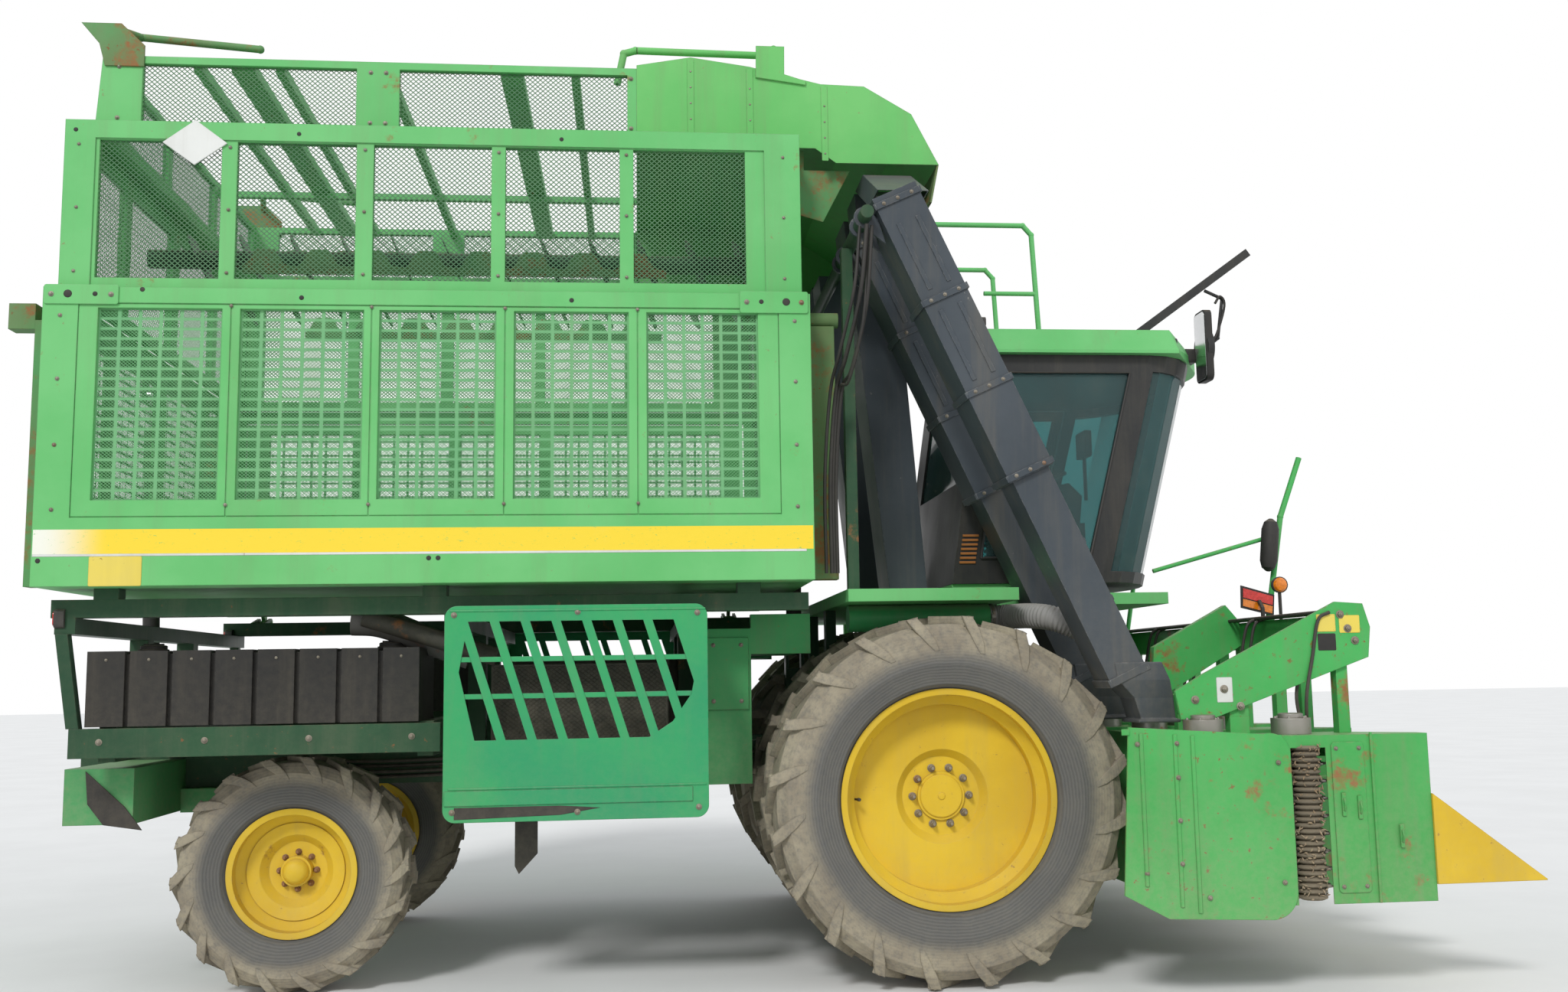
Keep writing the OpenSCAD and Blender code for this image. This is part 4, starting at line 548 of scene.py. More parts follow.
def basket_sheets():
    for side, s, w, body, node in (("right", -1, LOWER_Z, "basket", "basket_mesh"),
                                   ("left", 1, (2.56, 3.38), "dump_door", "dump_door_mesh")):
        b = Build()
        for p in PANELS:
            perforated(b, p, w, on_side(s * SHEET_Y))
        b.done("lower_sheets_" + side, "mesh", body, replaces=(node,), smooth=0)
    for x in (-4.4785, -0.6975):
        for p in ENDS:
            perforated(b, p, LOWER_Z, on_end(x))
    b.done("lower_sheets_ends", "mesh", "basket", smooth=0)
    for side, s in SIDES:
        for p in MESH:
            expanded(b, p, UPPER_Z, on_side(s * MESH_Y))
        for p in ((-4.15, -3.053), (-2.829, -1.62)):
            expanded(b, p, ROOF_Z, on_side(s * ROOF_Y))
        b.done("upper_mesh_" + side, "strands", "basket", smooth=0)
    for p in ENDS:
        expanded(b, p, UPPER_Z, on_end(-4.4285))
        expanded(b, p, (3.61, 4.09), on_end(-0.7335))
    for p in ((-1.4, -0.5), (-0.44, 0.44), (0.5, 1.4)):
        expanded(b, p, ROOF_Z, on_end(-4.333))
    b.done("upper_mesh_ends", "strands", "basket", smooth=0)


def stripes():
    """Yellow stripe along both sides, with its pale border."""
    x0, x1, steps, half = -4.494, -0.68, 60, 0.0012
    for (side, s), mat in zip(SIDES, ("stripe", "stripe_left")):
        y0, y1 = s * POST_Y - half, s * POST_Y + half
        b = Build()
        for i in range(steps):
            b.box((x0 + (x1 - x0) * i / steps, y0, 2.212), (x0 + (x1 - x0) * (i + 1) / steps, y1, 2.332))
        b.done("side_stripe_" + side, mat, "basket", smooth=0)
        b.box((x0, y0, 2.2), (-0.715, y1, 2.212))
        b.done("stripe_border_" + side, "white", "basket", smooth=0)


def basket_trim():
    # Bolts of the posts, and the corner gussets
    b, h = Build(), Build()
    b.bolts(grid((-4.415, -0.757), (2.43, 2.75, 3.08, 3.4)), -POST_Y, 0.007, 0.006)
    for x0, x1, z0 in ((-1.042, -0.685, 3.44), (-4.495, -4.138, 3.456)):
        h.plate(rounded(x0, z0, x1, 3.556, 0.012), 1, -1.758, -POST_Y)
        b.bolts([(x0 + (x1 - x0) * k, (z0 + 3.556) / 2) for k in (0.1, 0.9)], -1.758, 0.009, 0.008)
    h.done("corner_gussets", "basket", "basket", bevel=0.002)
    b.bolts(grid([(xa[1] + xb[0]) / 2 for xa, xb in zip(PANELS, PANELS[1:])], (2.45, 3.455)), -POST_Y, 0.006, 0.005)
    for xs, y in (((-4.38,), -1.7), ((-3.64, -2.965, -2.285, -1.625), -1.694), ((-0.8,), -1.7)):
        b.bolts(grid(xs, (3.64, 3.97, 4.3)), y, 0.006, 0.005)
    b.bolts(grid((-4.27, -2.98, -2.9, -1.6), (4.52, 4.8)), -1.5, 0.008, 0.007)
    b.done("basket_bolts", "bolt", "basket")
    # Black discs on the gussets, posts and mesh frame: painted shade standing in for the dark inside of each hole
    holes = Build()
    for x, z, r in ((-0.8, 3.5, 0.02), (-0.93, 3.5, 0.012), (-4.38, 3.508, 0.02), (-4.25, 3.508, 0.012)):
        holes.turned((x, -1.7575, z), (0, -1, 0), [(0, r), (0.0016, r), (0.002, r * 0.9)], 20)
    for x, z in ((-4.467, 2.18), (-2.608, 2.18), (-2.562, 2.18), (-4.027, 3.535), (-3.254, 3.5), (-1.906, 3.5)):
        holes.turned((x, -1.7495, z), (0, -1, 0), [(0, 0.012), (0.0016, 0.012), (0.002, 0.01)], 16)
    for x in (-4.398, -3.298, -1.962):
        holes.turned((x, -1.6995, 4.376), (0, -1, 0), [(0, 0.011), (0.0016, 0.011), (0.002, 0.009)], 16)
    holes.done("hole_shade_discs", "black", "basket")
    b.plate([(-3.973, 4.318), (-3.813, 4.2), (-3.653, 4.318), (-3.813, 4.439)], 1, -1.703, -1.695)
    b.done("blank_diamond", "white", "basket", bevel=0.001)
    b.plate(rounded(-4.229, 2.054, -3.98, 2.2, 0.008), 1, -1.7515, -POST_Y)
    b.done("blank_side_plate", "yplate", "basket")
    # Seams of the hood with their rivets: station, foot and head of each
    seam, b = Build(), Build()
    for x, foot, head in ((-1.277, 4.44, 4.932), (-0.954, 4.44, 4.887), (-0.545, 4.36, 4.795)):
        seam.box((x - 0.018, -HOOD_Y - 0.0035, foot), (x + 0.018, -HOOD_Y, head - 0.012))
        seam.box((x - 0.018, HOOD_Y, foot), (x + 0.018, HOOD_Y + 0.0035, head - 0.012))
        z = 4.4
        while z < head - 0.05:
            for s in (-1, 1):
                b.turned((x, s * (HOOD_Y + 0.0035), z), (0, s, 0), [(0, 0.006), (0.002, 0.005), (0.003, 0.002)], 8)
            z += 0.09
    seam.done("hood_seams", "hood", "basket", bevel=0.001)
    b.done("hood_rivets", "bolt", "basket")
    # Paddles of the compactor, along each auger shaft
    paddle = [(0, 0), (0.02, 0.012), (0.075, 0.1), (0.175, 0.1), (0.23, 0.012), (0.3, 0), (0.3, -0.045), (0, -0.045)]
    for y, z in ((-0.8, 3.93), (0.0, 4.16), (0.8, 3.93)):
        for i in range(8):
            x = -3.8 + 0.3 * i
            b.plate([(x + dx, z + dz) for dx, dz in paddle], 1, y - 0.004, y + 0.004)
    b.done("saw_bars", "beams", "basket", smooth=0)


# ---------------------------------------------------------------- wheels
def shoulder_lugs(b, cx, cy, r, w, lugs):
    """Each lug carried over the shoulder on to the wall, as far as four fifths of the radius."""
    # Steps out along a lug: share of the radius, skew, half its width, share of the tyre's width
    steps = ((0.995, 0.01, 0.028, 0.455), (0.93, -0.006, 0.034, 0.497), (0.86, -0.022, 0.028, 0.508),
             (0.8, -0.034, 0.014, 0.5))
    reach = w * 0.26 * math.sin(math.radians(42)) + 0.022 * math.cos(math.radians(42))
    first = math.asin(reach / r) - math.pi / 2
    f = [(0, 1, 3, 2), (12, 14, 15, 13)]
    for n in (0, 4, 8):
        f += [(n, n + 2, n + 6, n + 4), (n + 2, n + 3, n + 7, n + 6), (n + 3, n + 1, n + 5, n + 7),
              (n + 1, n, n + 4, n + 5)]
    for i in range(lugs):
        for half, side in ((0, 1), (1, -1)):
            a = first + (i + half / 2) * 2 * math.pi / lugs - 0.174 * w / r
            lug = []
            for share, skew, wide, out in steps:
                for y in (w * 0.4, w * out):
                    for k in (-1, 1):
                        t = a + (skew * 2.2 + k * wide) / (r * share)
                        lug.append((cx + r * share * math.cos(t), cy + side * y, r + r * share * math.sin(t)))
            b.add(lug, f)


def wheel_nuts(b, x, y, z, s, ring, stages):
    """Nuts on the points of a ring. Stages are offset, height, chamfer, radius, end radius and sides."""
    for dx, dz in ring:
        for off, h, chamfer, r, end, n in stages:
            b.turned((x + dx, y + s * off, z + dz), (0, s, 0), [(0, r), (h - chamfer, r), (h, end)], n)


def wheels():
    for side, s in SIDES:
        b = Build()
        for y in (0.762, 1.524):
            shoulder_lugs(b, 0, s * y, FRONT_R, 0.5, 20)
        b.done("front_shoulder_lugs_" + side, "tyre_f", "front_wheels_" + side, smooth=0, bevel=0.004)
        shoulder_lugs(b, -WHEELBASE, s * 1.09, REAR_R, 0.378, 18)
        b.done("rear_shoulder_lugs_" + side, "tyre_r", "rear_wheel_" + side, smooth=0, bevel=0.003)
    # Wheel nuts, hub caps and valves; the front wheels are dual
    for side, s in SIDES:
        wheel_nuts(b, 0, s * 1.466, FRONT_R, s, circle(0.15, 10), (
            (0, 0.005, 0.001, 0.021, 0.019, 16), (0.005, 0.023, 0.003, 0.0165, 0.014, 6),
            (0.023, 0.029, 0.003, 0.01, 0.008, 10)))
        b.done("front_wheel_nuts_" + side, "bolt", "front_wheels_" + side)
        b.turned((0, s * 1.48, FRONT_R), (0, s, 0), [(0, 0.112), (0.006, 0.112), (0.01, 0.107), (0.012, 0.02),
                                                      (0.016, 0.018), (0.018, 0.0)], 40)
        b.done("front_hub_cap_" + side, "yellow", "front_wheels_" + side)
        b.tube([(x, s * y, FRONT_R) for x, y in ((-0.475, 1.53), (-0.47, 1.56), (-0.455, 1.59))], 0.006, 8)
        b.turned((-0.455, s * 1.59, FRONT_R), (0.3, s, 0), [(0, 0.009), (0.018, 0.009), (0.02, 0.007)], 10)
        b.done("front_valve_" + side, "black", "front_wheels_" + side)
        wheel_nuts(b, -WHEELBASE, s * 1.072, REAR_R, s, circle(0.095, 8), (
            (0, 0.004, 0.001, 0.017, 0.015, 16), (0.004, 0.018, 0.002, 0.0135, 0.011, 6),
            (0.018, 0.02, 0.002, 0.008, 0.006, 10)))
        b.done("rear_wheel_nuts_" + side, "rust", "rear_wheel_" + side)
        b.turned((-WHEELBASE, s * 1.13, REAR_R), (0, s, 0), [(0, 0.066), (0.012, 0.066), (0.03, 0.055),
                                                              (0.042, 0.04), (0.046, 0.0)], 28)
        b.done("rear_hub_cap_" + side, "yellow", "rear_wheel_" + side, "black_paint")


def even_steps(path, step):
    """Points along a path at even steps, and how far along it each one is."""
    total = [0.0]
    for a, c in zip(path, path[1:]):
        total.append(total[-1] + (c - a).length)
    n, j, out = int(total[-1] / step), 0, []
    for i in range(n + 1):
        d = total[-1] * i / n
        while j < len(total) - 2 and total[j + 1] < d:
            j += 1
        t = (d - total[j]) / max(total[j + 1] - total[j], 1e-9)
        out.append((path[j].lerp(path[j + 1], min(t, 1)), d))
    return out


def hose():
    """The corrugated hose on the deck, in even steps so that its ribs are even too."""
    radius, rib, pitch = 0.0655, 0.004, 0.021
    path = spline([(0.37, -1.11, 1.878), (0.44, -1.11, 1.878), (0.505, -1.165, 1.878), (0.56, -1.29, 1.875),
                   (0.64, -1.41, 1.858), (0.75, -1.45, 1.815), (0.88, -1.45, 1.75)], 24)
    steps = even_steps(path, 0.0035)
    pts = [p for p, _ in steps]
    b = Build()
    b.tube(pts, [radius + rib * math.sin(2 * math.pi * d / pitch) for _, d in steps], 28)
    b.done("air_hose_ribbed", "hose", replaces=("air_hose",), smooth=60)
    for k in (4, len(pts) - 6):
        p, d = pts[k], (pts[k + 1] - pts[k]).normalized()
        b.turned(p, d, [(-0.009, 0.0705), (-0.009, 0.0725), (0.009, 0.0725), (0.009, 0.0705)], 32)
        b.box((p.x - 0.012, p.y - 0.09, p.z - 0.01), (p.x + 0.012, p.y - 0.068, p.z + 0.01))
    b.done("hose_clamps", "steel")


# ---------------------------------------------------------------- cab
def cushion(name, lo, hi, cap):
    """A stuffed pad: a rounded block that is remeshed, swollen by cloth pressure and held to a cap."""
    bpy.ops.mesh.primitive_cube_add(size=1, location=(0, 0, 0))
    o = bpy.context.object
    o.name = name
    inset = 0.012
    lo, hi = Vector(lo) + Vector((inset,) * 3), Vector(hi) - Vector((inset,) * 3)
    for v in o.data.vertices:
        v.co = Vector([(lo[i] + hi[i]) / 2 + v.co[i] * (hi[i] - lo[i]) for i in range(3)])
        v.co.x += AX
    m = o.modifiers.new("round", "BEVEL")
    m.width, m.segments = 0.028, 3
    bpy.ops.object.modifier_apply(modifier="round")
    m = o.modifiers.new("remesh", "REMESH")
    m.mode, m.voxel_size = "VOXEL", 0.009
    bpy.ops.object.modifier_apply(modifier="remesh")
    start = [v.co.copy() for v in o.data.vertices]
    c = o.modifiers.new("cloth", "CLOTH")
    c.settings.use_pressure = True
    c.settings.uniform_pressure_force = 4
    c.settings.effector_weights.gravity = 0
    c.point_cache.frame_start, c.point_cache.frame_end = 1, 20
    for f in range(1, 19):
        bpy.context.scene.frame_set(f)
    dg = bpy.context.evaluated_depsgraph_get()
    shape = [v.co.copy() for v in o.evaluated_get(dg).data.vertices]
    o.modifiers.remove(c)
    bpy.context.scene.frame_set(1)
    for v, s0, s1 in zip(o.data.vertices, start, shape):
        d = s1 - s0
        v.co = s0 + d * min(1.0, cap / max(d.length, 1e-9))
    return o


def channels(o, axis, places, across, depth=0.006, half=0.014):
    """Sewn channels pressed into the upper or front face."""
    for v in o.data.vertices:
        for p in places:
            d = abs(v.co[axis] - p)
            if d < half:
                v.co[across] -= depth * (1 - d / half) ** 2


def finish_pad(o, replaces=()):
    sub = o.modifiers.new("sub", "SUBSURF")
    sub.levels = sub.render_levels = 1
    o.data.materials.clear()
    o.data.materials.append(mats["cloth"])
    o.data.shade_smooth()
    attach(o, "chassis")
    if replaces:
        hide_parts(*replaces)


def cab():
    seat = cushion("seat_cushion", (0.56, -0.25, 2.44), (1.0, 0.25, 2.56), 0.012)
    channels(seat, 0, [x + AX for x in (0.68, 0.78, 0.88)], 2)
    finish_pad(seat, ("cab_seat",))
    back = cushion("seat_back", (0.48, -0.24, 2.575), (0.59, 0.24, 3.15), 0.012)
    channels(back, 2, [2.72, 2.84, 2.96], 0)
    finish_pad(back)
    b = Build()
    for i in range(7):       # bellows of the seat's suspension
        z = 2.15 + i * 0.038
        b.plate(rounded(0.655, -0.14, 0.885, 0.14, 0.03), 2, z, z + 0.018)
        b.plate(rounded(0.668, -0.127, 0.872, 0.127, 0.025), 2, z + 0.018, z + 0.038)
    b.plate(rounded(0.64, -0.15, 0.9, 0.15, 0.02), 2, 2.124, 2.15)
    b.plate(rounded(0.58, -0.23, 0.96, 0.23, 0.02), 2, 2.414, 2.442)
    for y in (-0.3, 0.3):   # arm rests
        b.tube([(0.55, y, 2.62), (0.55, y, 2.7), (0.6, y, 2.735), (0.86, y, 2.735)], 0.022, 10)
    b.done("seat_base", "cab", bevel=0.002)
    # steering wheel on its tilted column
    c, tilt = Vector((0.985, 0, 2.755)), Vector((-0.42, 0, 0.91)).normalized()
    side = Vector((0, 1, 0))
    w = tilt.cross(side)
    ring = [c + 0.2 * (math.cos(t) * side + math.sin(t) * w) for t in [2 * math.pi * i / 36 for i in range(37)]]
    b.tube(ring, 0.014, 10, closed=False)
    for t in (0.5, 2.6, 4.7):
        b.tube([c - tilt * 0.02, c + 0.19 * (math.cos(t) * side + math.sin(t) * w)], 0.01, 8)
    b.turned(c - tilt * 0.05, tilt, [(0, 0.03), (0.03, 0.045), (0.055, 0.045), (0.06, 0.03)], 20)
    b.done("steering_wheel", "black")
    # right console, lever and display housing
    b.plate([(0.58, 2.3), (1.06, 2.3), (1.1, 2.62), (1.02, 2.7), (0.6, 2.62)], 1, -0.6, -0.4)
    b.tube([(0.9, -0.5, 2.64), (0.91, -0.5, 2.78)], 0.01, 8)
    b.turned((0.91, -0.5, 2.78), (0, 0, 1), [(0, 0.012), (0.02, 0.026), (0.06, 0.026), (0.075, 0.012)], 16)
    b.plate(rounded(-0.64, 2.86, -0.44, 3.02, 0.015), 0, 1.12, 1.16)
    b.tube([(1.14, -0.54, 2.6), (1.14, -0.54, 2.88)], 0.012, 8)
    b.done("cab_console", "cab", bevel=0.004)
    # Lamps under the roof's brow, and two at its rear
    b, l = Build(), Build()
    for y in (-0.7, -0.42, 0.42, 0.7):
        x = 1.64 if abs(y) > 0.6 else 1.865
        b.plate(rounded(y - 0.075, 3.47, y + 0.075, 3.56, 0.02), 0, x - 0.03, x + 0.035)
        l.plate(rounded(y - 0.062, 3.482, y + 0.062, 3.548, 0.015), 0, x + 0.035, x + 0.041)
    for y in (-0.8, 0.8):
        b.plate(rounded(y - 0.06, 3.6, y + 0.06, 3.66, 0.02), 0, 0.42, 0.48)
        l.plate(rounded(y - 0.05, 3.608, y + 0.05, 3.652, 0.015), 0, 0.414, 0.42)
    b.done("roof_lamp_bodies", "lamp_body", bevel=0.003)
    l.done("roof_lamp_lenses", "clear", bevel=0.001)
    # Gaskets round the side windows, between the leaning posts, and the vent low on the rear of the right side
    def rear(z):
        return 0.239 + (z - 2.083) * 0.155

    def front(z):
        return 1.125 + (z - 2.083) * 0.262
    foot, head = 2.23, 3.33
    for _, s in SIDES:
        pts = [(x, s * 0.822, z) for x, z in ((rear(foot) + 0.15, foot), (front(foot) - 0.1, foot),
                                              (front(head) - 0.1, head), (rear(head) + 0.15, head))]
        b.tube(pts + [pts[0]], 0.009, 8)
    b.done("window_gaskets", "line")
    for i in range(7):
        z = 2.2 + i * 0.026
        b.box((rear(z) + 0.025, -0.828, z), (rear(z) + 0.12, -0.818, z + 0.014))
    b.done("cab_vent", "orange", bevel=0.001)
    # Wiper on the windscreen
    b.tube([(1.59, -0.1, 2.28), (1.7, -0.02, 2.62), (1.795, 0.06, 2.98)], 0.008, 8)
    b.done("wiper", "black")
    # Tall mirror on a bent arm at the end of the boom
    b, l = Build(), Build()
    b.tube(spline([(1.985, -0.62, 3.815), (2.02, -0.62, 3.86), (2.045, -0.62, 3.8), (1.985, -0.62, 3.62),
                   (1.935, -0.62, 3.56)], 6), 0.008, 8)
    b.plate(rounded(-0.71, 3.32, -0.53, 3.76, 0.04), 0, 1.88, 1.922)
    l.plate(rounded(-0.7, 3.332, -0.54, 3.748, 0.03), 0, 1.876, 1.88)
    b.done("boom_mirror", "black", slot="black_plastic", bevel=0.006)
    l.done("boom_mirror_glass", "chrome", bevel=0.001)
    # Door handle on the left
    b.tube([(1.02, 0.822, 2.6), (1.02, 0.862, 2.61), (1.04, 0.866, 2.72), (1.05, 0.824, 2.74)], 0.01, 8)
    b.done("door_handle", "black", "cab_door")


# ---------------------------------------------------------------- ducts
LEAN = math.radians(24.5)
DOWN = Vector((math.sin(LEAN), 0, -math.cos(LEAN)))
OUT = Vector((math.cos(LEAN), 0, math.sin(LEAN)))
TOP = Vector((-0.2, 0, 3.93))
DUCTS = (-1.8, -1.1, 1.62, 1.93)


def slant_box(b, y, s0, s1, x0, x1, y0, y1):
    """A box in the duct's own frame: s along it, x square to it."""
    v = []
    for s in (s0, s1):
        for yy in (y + y0, y + y1):
            for x in (x0, x1):
                p = TOP + DOWN * s + OUT * x
                v.append((p.x, yy, p.z))
    b.add(v, [(0, 1, 3, 2), (4, 6, 7, 5), (0, 4, 5, 1), (2, 3, 7, 6), (0, 2, 6, 4), (1, 5, 7, 3)])


def flange(b, y, s, long, d, w, t):
    """A flange of thickness t round a duct, whose half depth and half width are d and w."""
    for x0, x1, y0, y1 in ((d, d + t, -w - t, w + t), (-d - t, -d, -w - t, w + t),
                           (-d, d, -w - t, -w), (-d, d, w, w + t)):
        slant_box(b, y, s, s + long, x0, x1, y0, y1)


def ducts():
    up, low, screws, lines, boot = (Build() for _ in range(5))
    for y in DUCTS:
        d, w, t = 0.125, 0.145, 0.01            # upper duct: flanges with screws, and pressed ribs along the sides
        for s in (-0.1, 0.46, 0.98, 1.455):
            flange(up, y, s, 0.034, d, w, t)
            for k in (-0.08, 0.0, 0.08):
                p = TOP + DOWN * (s + 0.017) + OUT * k
                for side in (-1, 1):
                    screws.bolt((p.x, y + side * (w + t), p.z), (0, side, 0), 0.007, 0.006)
        for y0, y1 in ((-w - 0.005, -w + 0.004), (w - 0.004, w + 0.004)):
            for x in (-0.055, 0.055):
                for s0, s1 in ((0.04, 0.42), (0.54, 0.94)):
                    slant_box(up, y, s0, s1, x - 0.012, x + 0.012, y0, y1)
        d, w = 0.1025, 0.1225                    # lower duct: a flange and two straps
        flange(low, y, 2.6, 0.04, d, w, 0.012)
        for s in (1.9, 2.22):
            slant_box(low, y, s, s + 0.03, d, d + 0.006, -w, w)
        # Boot that takes the duct down into the row unit: height, rear and front station, half width
        rings = ((1.61, 0.815, 1.06, 0.13), (1.52, 0.83, 1.1, 0.13), (1.43, 0.915, 1.118, 0.116),
                 (1.325, 0.945, 1.125, 0.115), (1.322, 0.925, 1.145, 0.135), (1.306, 0.925, 1.145, 0.135))
        last = 4 * len(rings) - 4
        boot.add([p for z, x0, x1, hy in rings
                  for p in ((x0, y - hy, z), (x1, y - hy, z), (x1, y + hy, z), (x0, y + hy, z))],
                 [(i + k, i + (k + 1) % 4, i + 4 + (k + 1) % 4, i + 4 + k) for i in range(0, last, 4) for k in range(4)]
                 + [(3, 2, 1, 0), tuple(range(last, last + 4))])
    boot.done("duct_boots", "duct", "header", smooth=0, bevel=0.006)
    up.done("upper_duct_flanges", "duct", "upper_ducts", bevel=0.0015)
    low.done("lower_duct_flanges", "duct", "lower_ducts", bevel=0.0015)
    screws.done("duct_screws", "bolt", "upper_ducts")
    # Lines that hang from the cross tube's near end down the mast
    for k, (dx, sag) in enumerate(((0.0, 0.1), (0.03, 0.16), (-0.03, 0.07), (0.015, 0.22))):
        pts = spline([(-0.4 + dx, -1.96 + 0.02 * k, 3.86), (-0.44 + dx, -1.95, 3.6 - sag),
                      (-0.5 + dx, -1.8, 3.3 - sag), (-0.53 + dx, -1.62, 3.05), (-0.56 + dx, -1.56, 2.6),
                      (-0.56 + dx, -1.55, 2.1)], 8)
        lines.tube(pts, 0.011 - 0.001 * k, 8)
    lines.done("hanging_lines", "line", smooth=60)


# ---------------------------------------------------------------- header
ROWS = [(i - 2.5) * 0.762 for i in range(6)]
BRUSH_Y = 0.135      # doffer brushes: offset from the drums' middle


def row_units():
    spin, brush = Build(), Build()
    foot, head, spindle_rings = 0.49, 1.241, 9
    for y in ROWS:
        cy = y + DRUM_Y
        for x in DRUM_X:                         # spindles point out of the drum towards the row
            for ring in range(spindle_rings):
                z = foot + (ring + 0.35) * (head - foot) / spindle_rings
                for k in range(10):
                    a = math.radians(-60 + 300 * k / 10 + 12 * ring)
                    d = Vector((math.sin(a), math.cos(a), 0))
                    p = Vector((x, cy, z)) + d * 0.124
                    spin.turned(p, d, [(0, 0.0085), (0.012, 0.0085), (0.03, 0.005), (0.034, 0.001)], 5)
        for k in range(26):                      # doffer brushes in the gap of the outer side
            brush.turned((DRUM_X[1], cy - BRUSH_Y, 0.47 + k * 0.028), (0, 0, 1),
                         [(0, 0.052), (0.01, 0.07), (0.016, 0.07), (0.026, 0.052)], 14)
    spin.done("spindles", "steel", "header")
    brush.done("doffer_brushes", "bristle", "header")


def outer_unit():
    """Seams, latches, hinges and ribs of the outer right side, and the header's bolts."""
    door, screws = Build(), Build()
    y, side = COVER_Y, CABINET_Y
    for x, z0, z1 in ((0.8, 0.56, 1.27), (0.966, 0.46, 1.262), (1.052, 0.43, 1.255)):
        door.plate([(x - 0.012, y), (x - 0.006, y - 0.007), (x + 0.006, y - 0.007), (x + 0.012, y)], 2, z0, z1)
    door.box((0.705, y - 0.005, 1.262), (0.745, y, 1.292))
    door.plate(rounded(1.742, 0.5, 1.905, 1.21, 0.02), 1, side - 0.006, side)
    door.box((1.938, side - 0.01, 0.45), (1.95, side, 1.255))
    for x, z in ((1.788, 0.915), (1.868, 0.9), (2.07, 0.76)):
        door.box((x - 0.01, side - 0.014, z - 0.055), (x + 0.01, side - 0.006, z + 0.055))
        door.tube([(x, side - 0.016, z - 0.03), (x, side - 0.026, z), (x, side - 0.016, z + 0.03)], 0.005, 6)
    door.done("unit_doors", "header", "header", bevel=0.002)
    screws.bolts(grid((0.972,), (0.66, 0.86, 1.06, 1.22)), y - 0.006, 0.008, 0.007)
    screws.bolts(((1.1, 0.5), (1.47, 0.56), (1.47, 1.12), (0.78, 1.22), (0.8, 0.62)), y - 0.004, 0.008, 0.007)
    screws.bolts(((1.765, 0.53), (1.88, 0.53), (1.765, 1.18), (1.88, 1.18)), side - 0.006, 0.007, 0.006)
    for _, s in SIDES:
        screws.bolts(((1.38, 1.385), (1.955, 1.76), (1.92, 1.83), (1.99, 1.7), (1.15, 1.42), (1.3, 1.47)),
                     s * 2.12, 0.014, 0.012, s)
    for i in range(-3, 4):
        for z in (0.66, 0.86):
            for s in (-1, 1):
                yy = i * 0.762 + s * 0.062
                if abs(yy) < 2.3:
                    screws.bolt((2.29 + (0.957 - z) * 0.1, yy, z), (0.25, s, 0.3), 0.01, 0.008)
    screws.done("header_bolts", "bolt", "header")


def header_signs():
    # Blank plates on the side arm
    for mat, name, spots in (("yplate", "yellow", ((1.795, 1.745, 1.893, 1.832), (1.912, 1.738, 2.02, 1.826))),
                             ("black", "black", ((1.797, 1.652, 1.89, 1.736),)),
                             ("white", "white", ((1.262, 1.405, 1.343, 1.528),))):
        b = Build()
        for spot in spots:
            b.plate(rounded(*spot, 0.006), 1, -2.1215, -2.12)
        b.done("blank_plates_" + name, mat, "header", "yellow_paint")
    # Striped board on its bracket, and the round lamp beside it
    b, red, orange = Build(), Build(), Build()
    b.tube([(1.86, -1.35, 1.83), (1.86, -1.35, 1.9), (1.86, -1.31, 1.94)], 0.012, 8)
    b.plate([(1.762, 2.03), (1.955, 1.975), (1.945, 1.858), (1.757, 1.905)], 1, -1.3, -1.294)
    red.plate([(1.775, 2.014), (1.945, 1.966), (1.94, 1.918), (1.772, 1.962)], 1, -1.303, -1.3)
    orange.plate([(1.772, 1.955), (1.94, 1.911), (1.935, 1.872), (1.769, 1.915)], 1, -1.303, -1.3)
    b.tube([(1.985, -1.3, 1.83), (1.985, -1.3, 1.99)], 0.01, 8)
    b.turned((1.985, -1.285, 2.03), (0, -1, 0), [(0, 0.03), (0.004, 0.044), (0.028, 0.046), (0.03, 0.042)], 20)
    orange.turned((1.985, -1.315, 2.03), (0, -1, 0), [(0, 0.04), (0.012, 0.032), (0.017, 0.016), (0.018, 0)], 20)
    # Black oval lamp on the handrail
    b.turned((1.955, -1.235, 2.11), (0.11, 0, 1), [(0, 0.01), (0.02, 0.036), (0.06, 0.048), (0.24, 0.048),
                                                    (0.28, 0.036), (0.3, 0.01)], 18)
    b.done("board_and_brackets", "black", "header", bevel=0.001)
    red.done("board_red", "red", "header")
    orange.done("board_orange", "amber", "header")


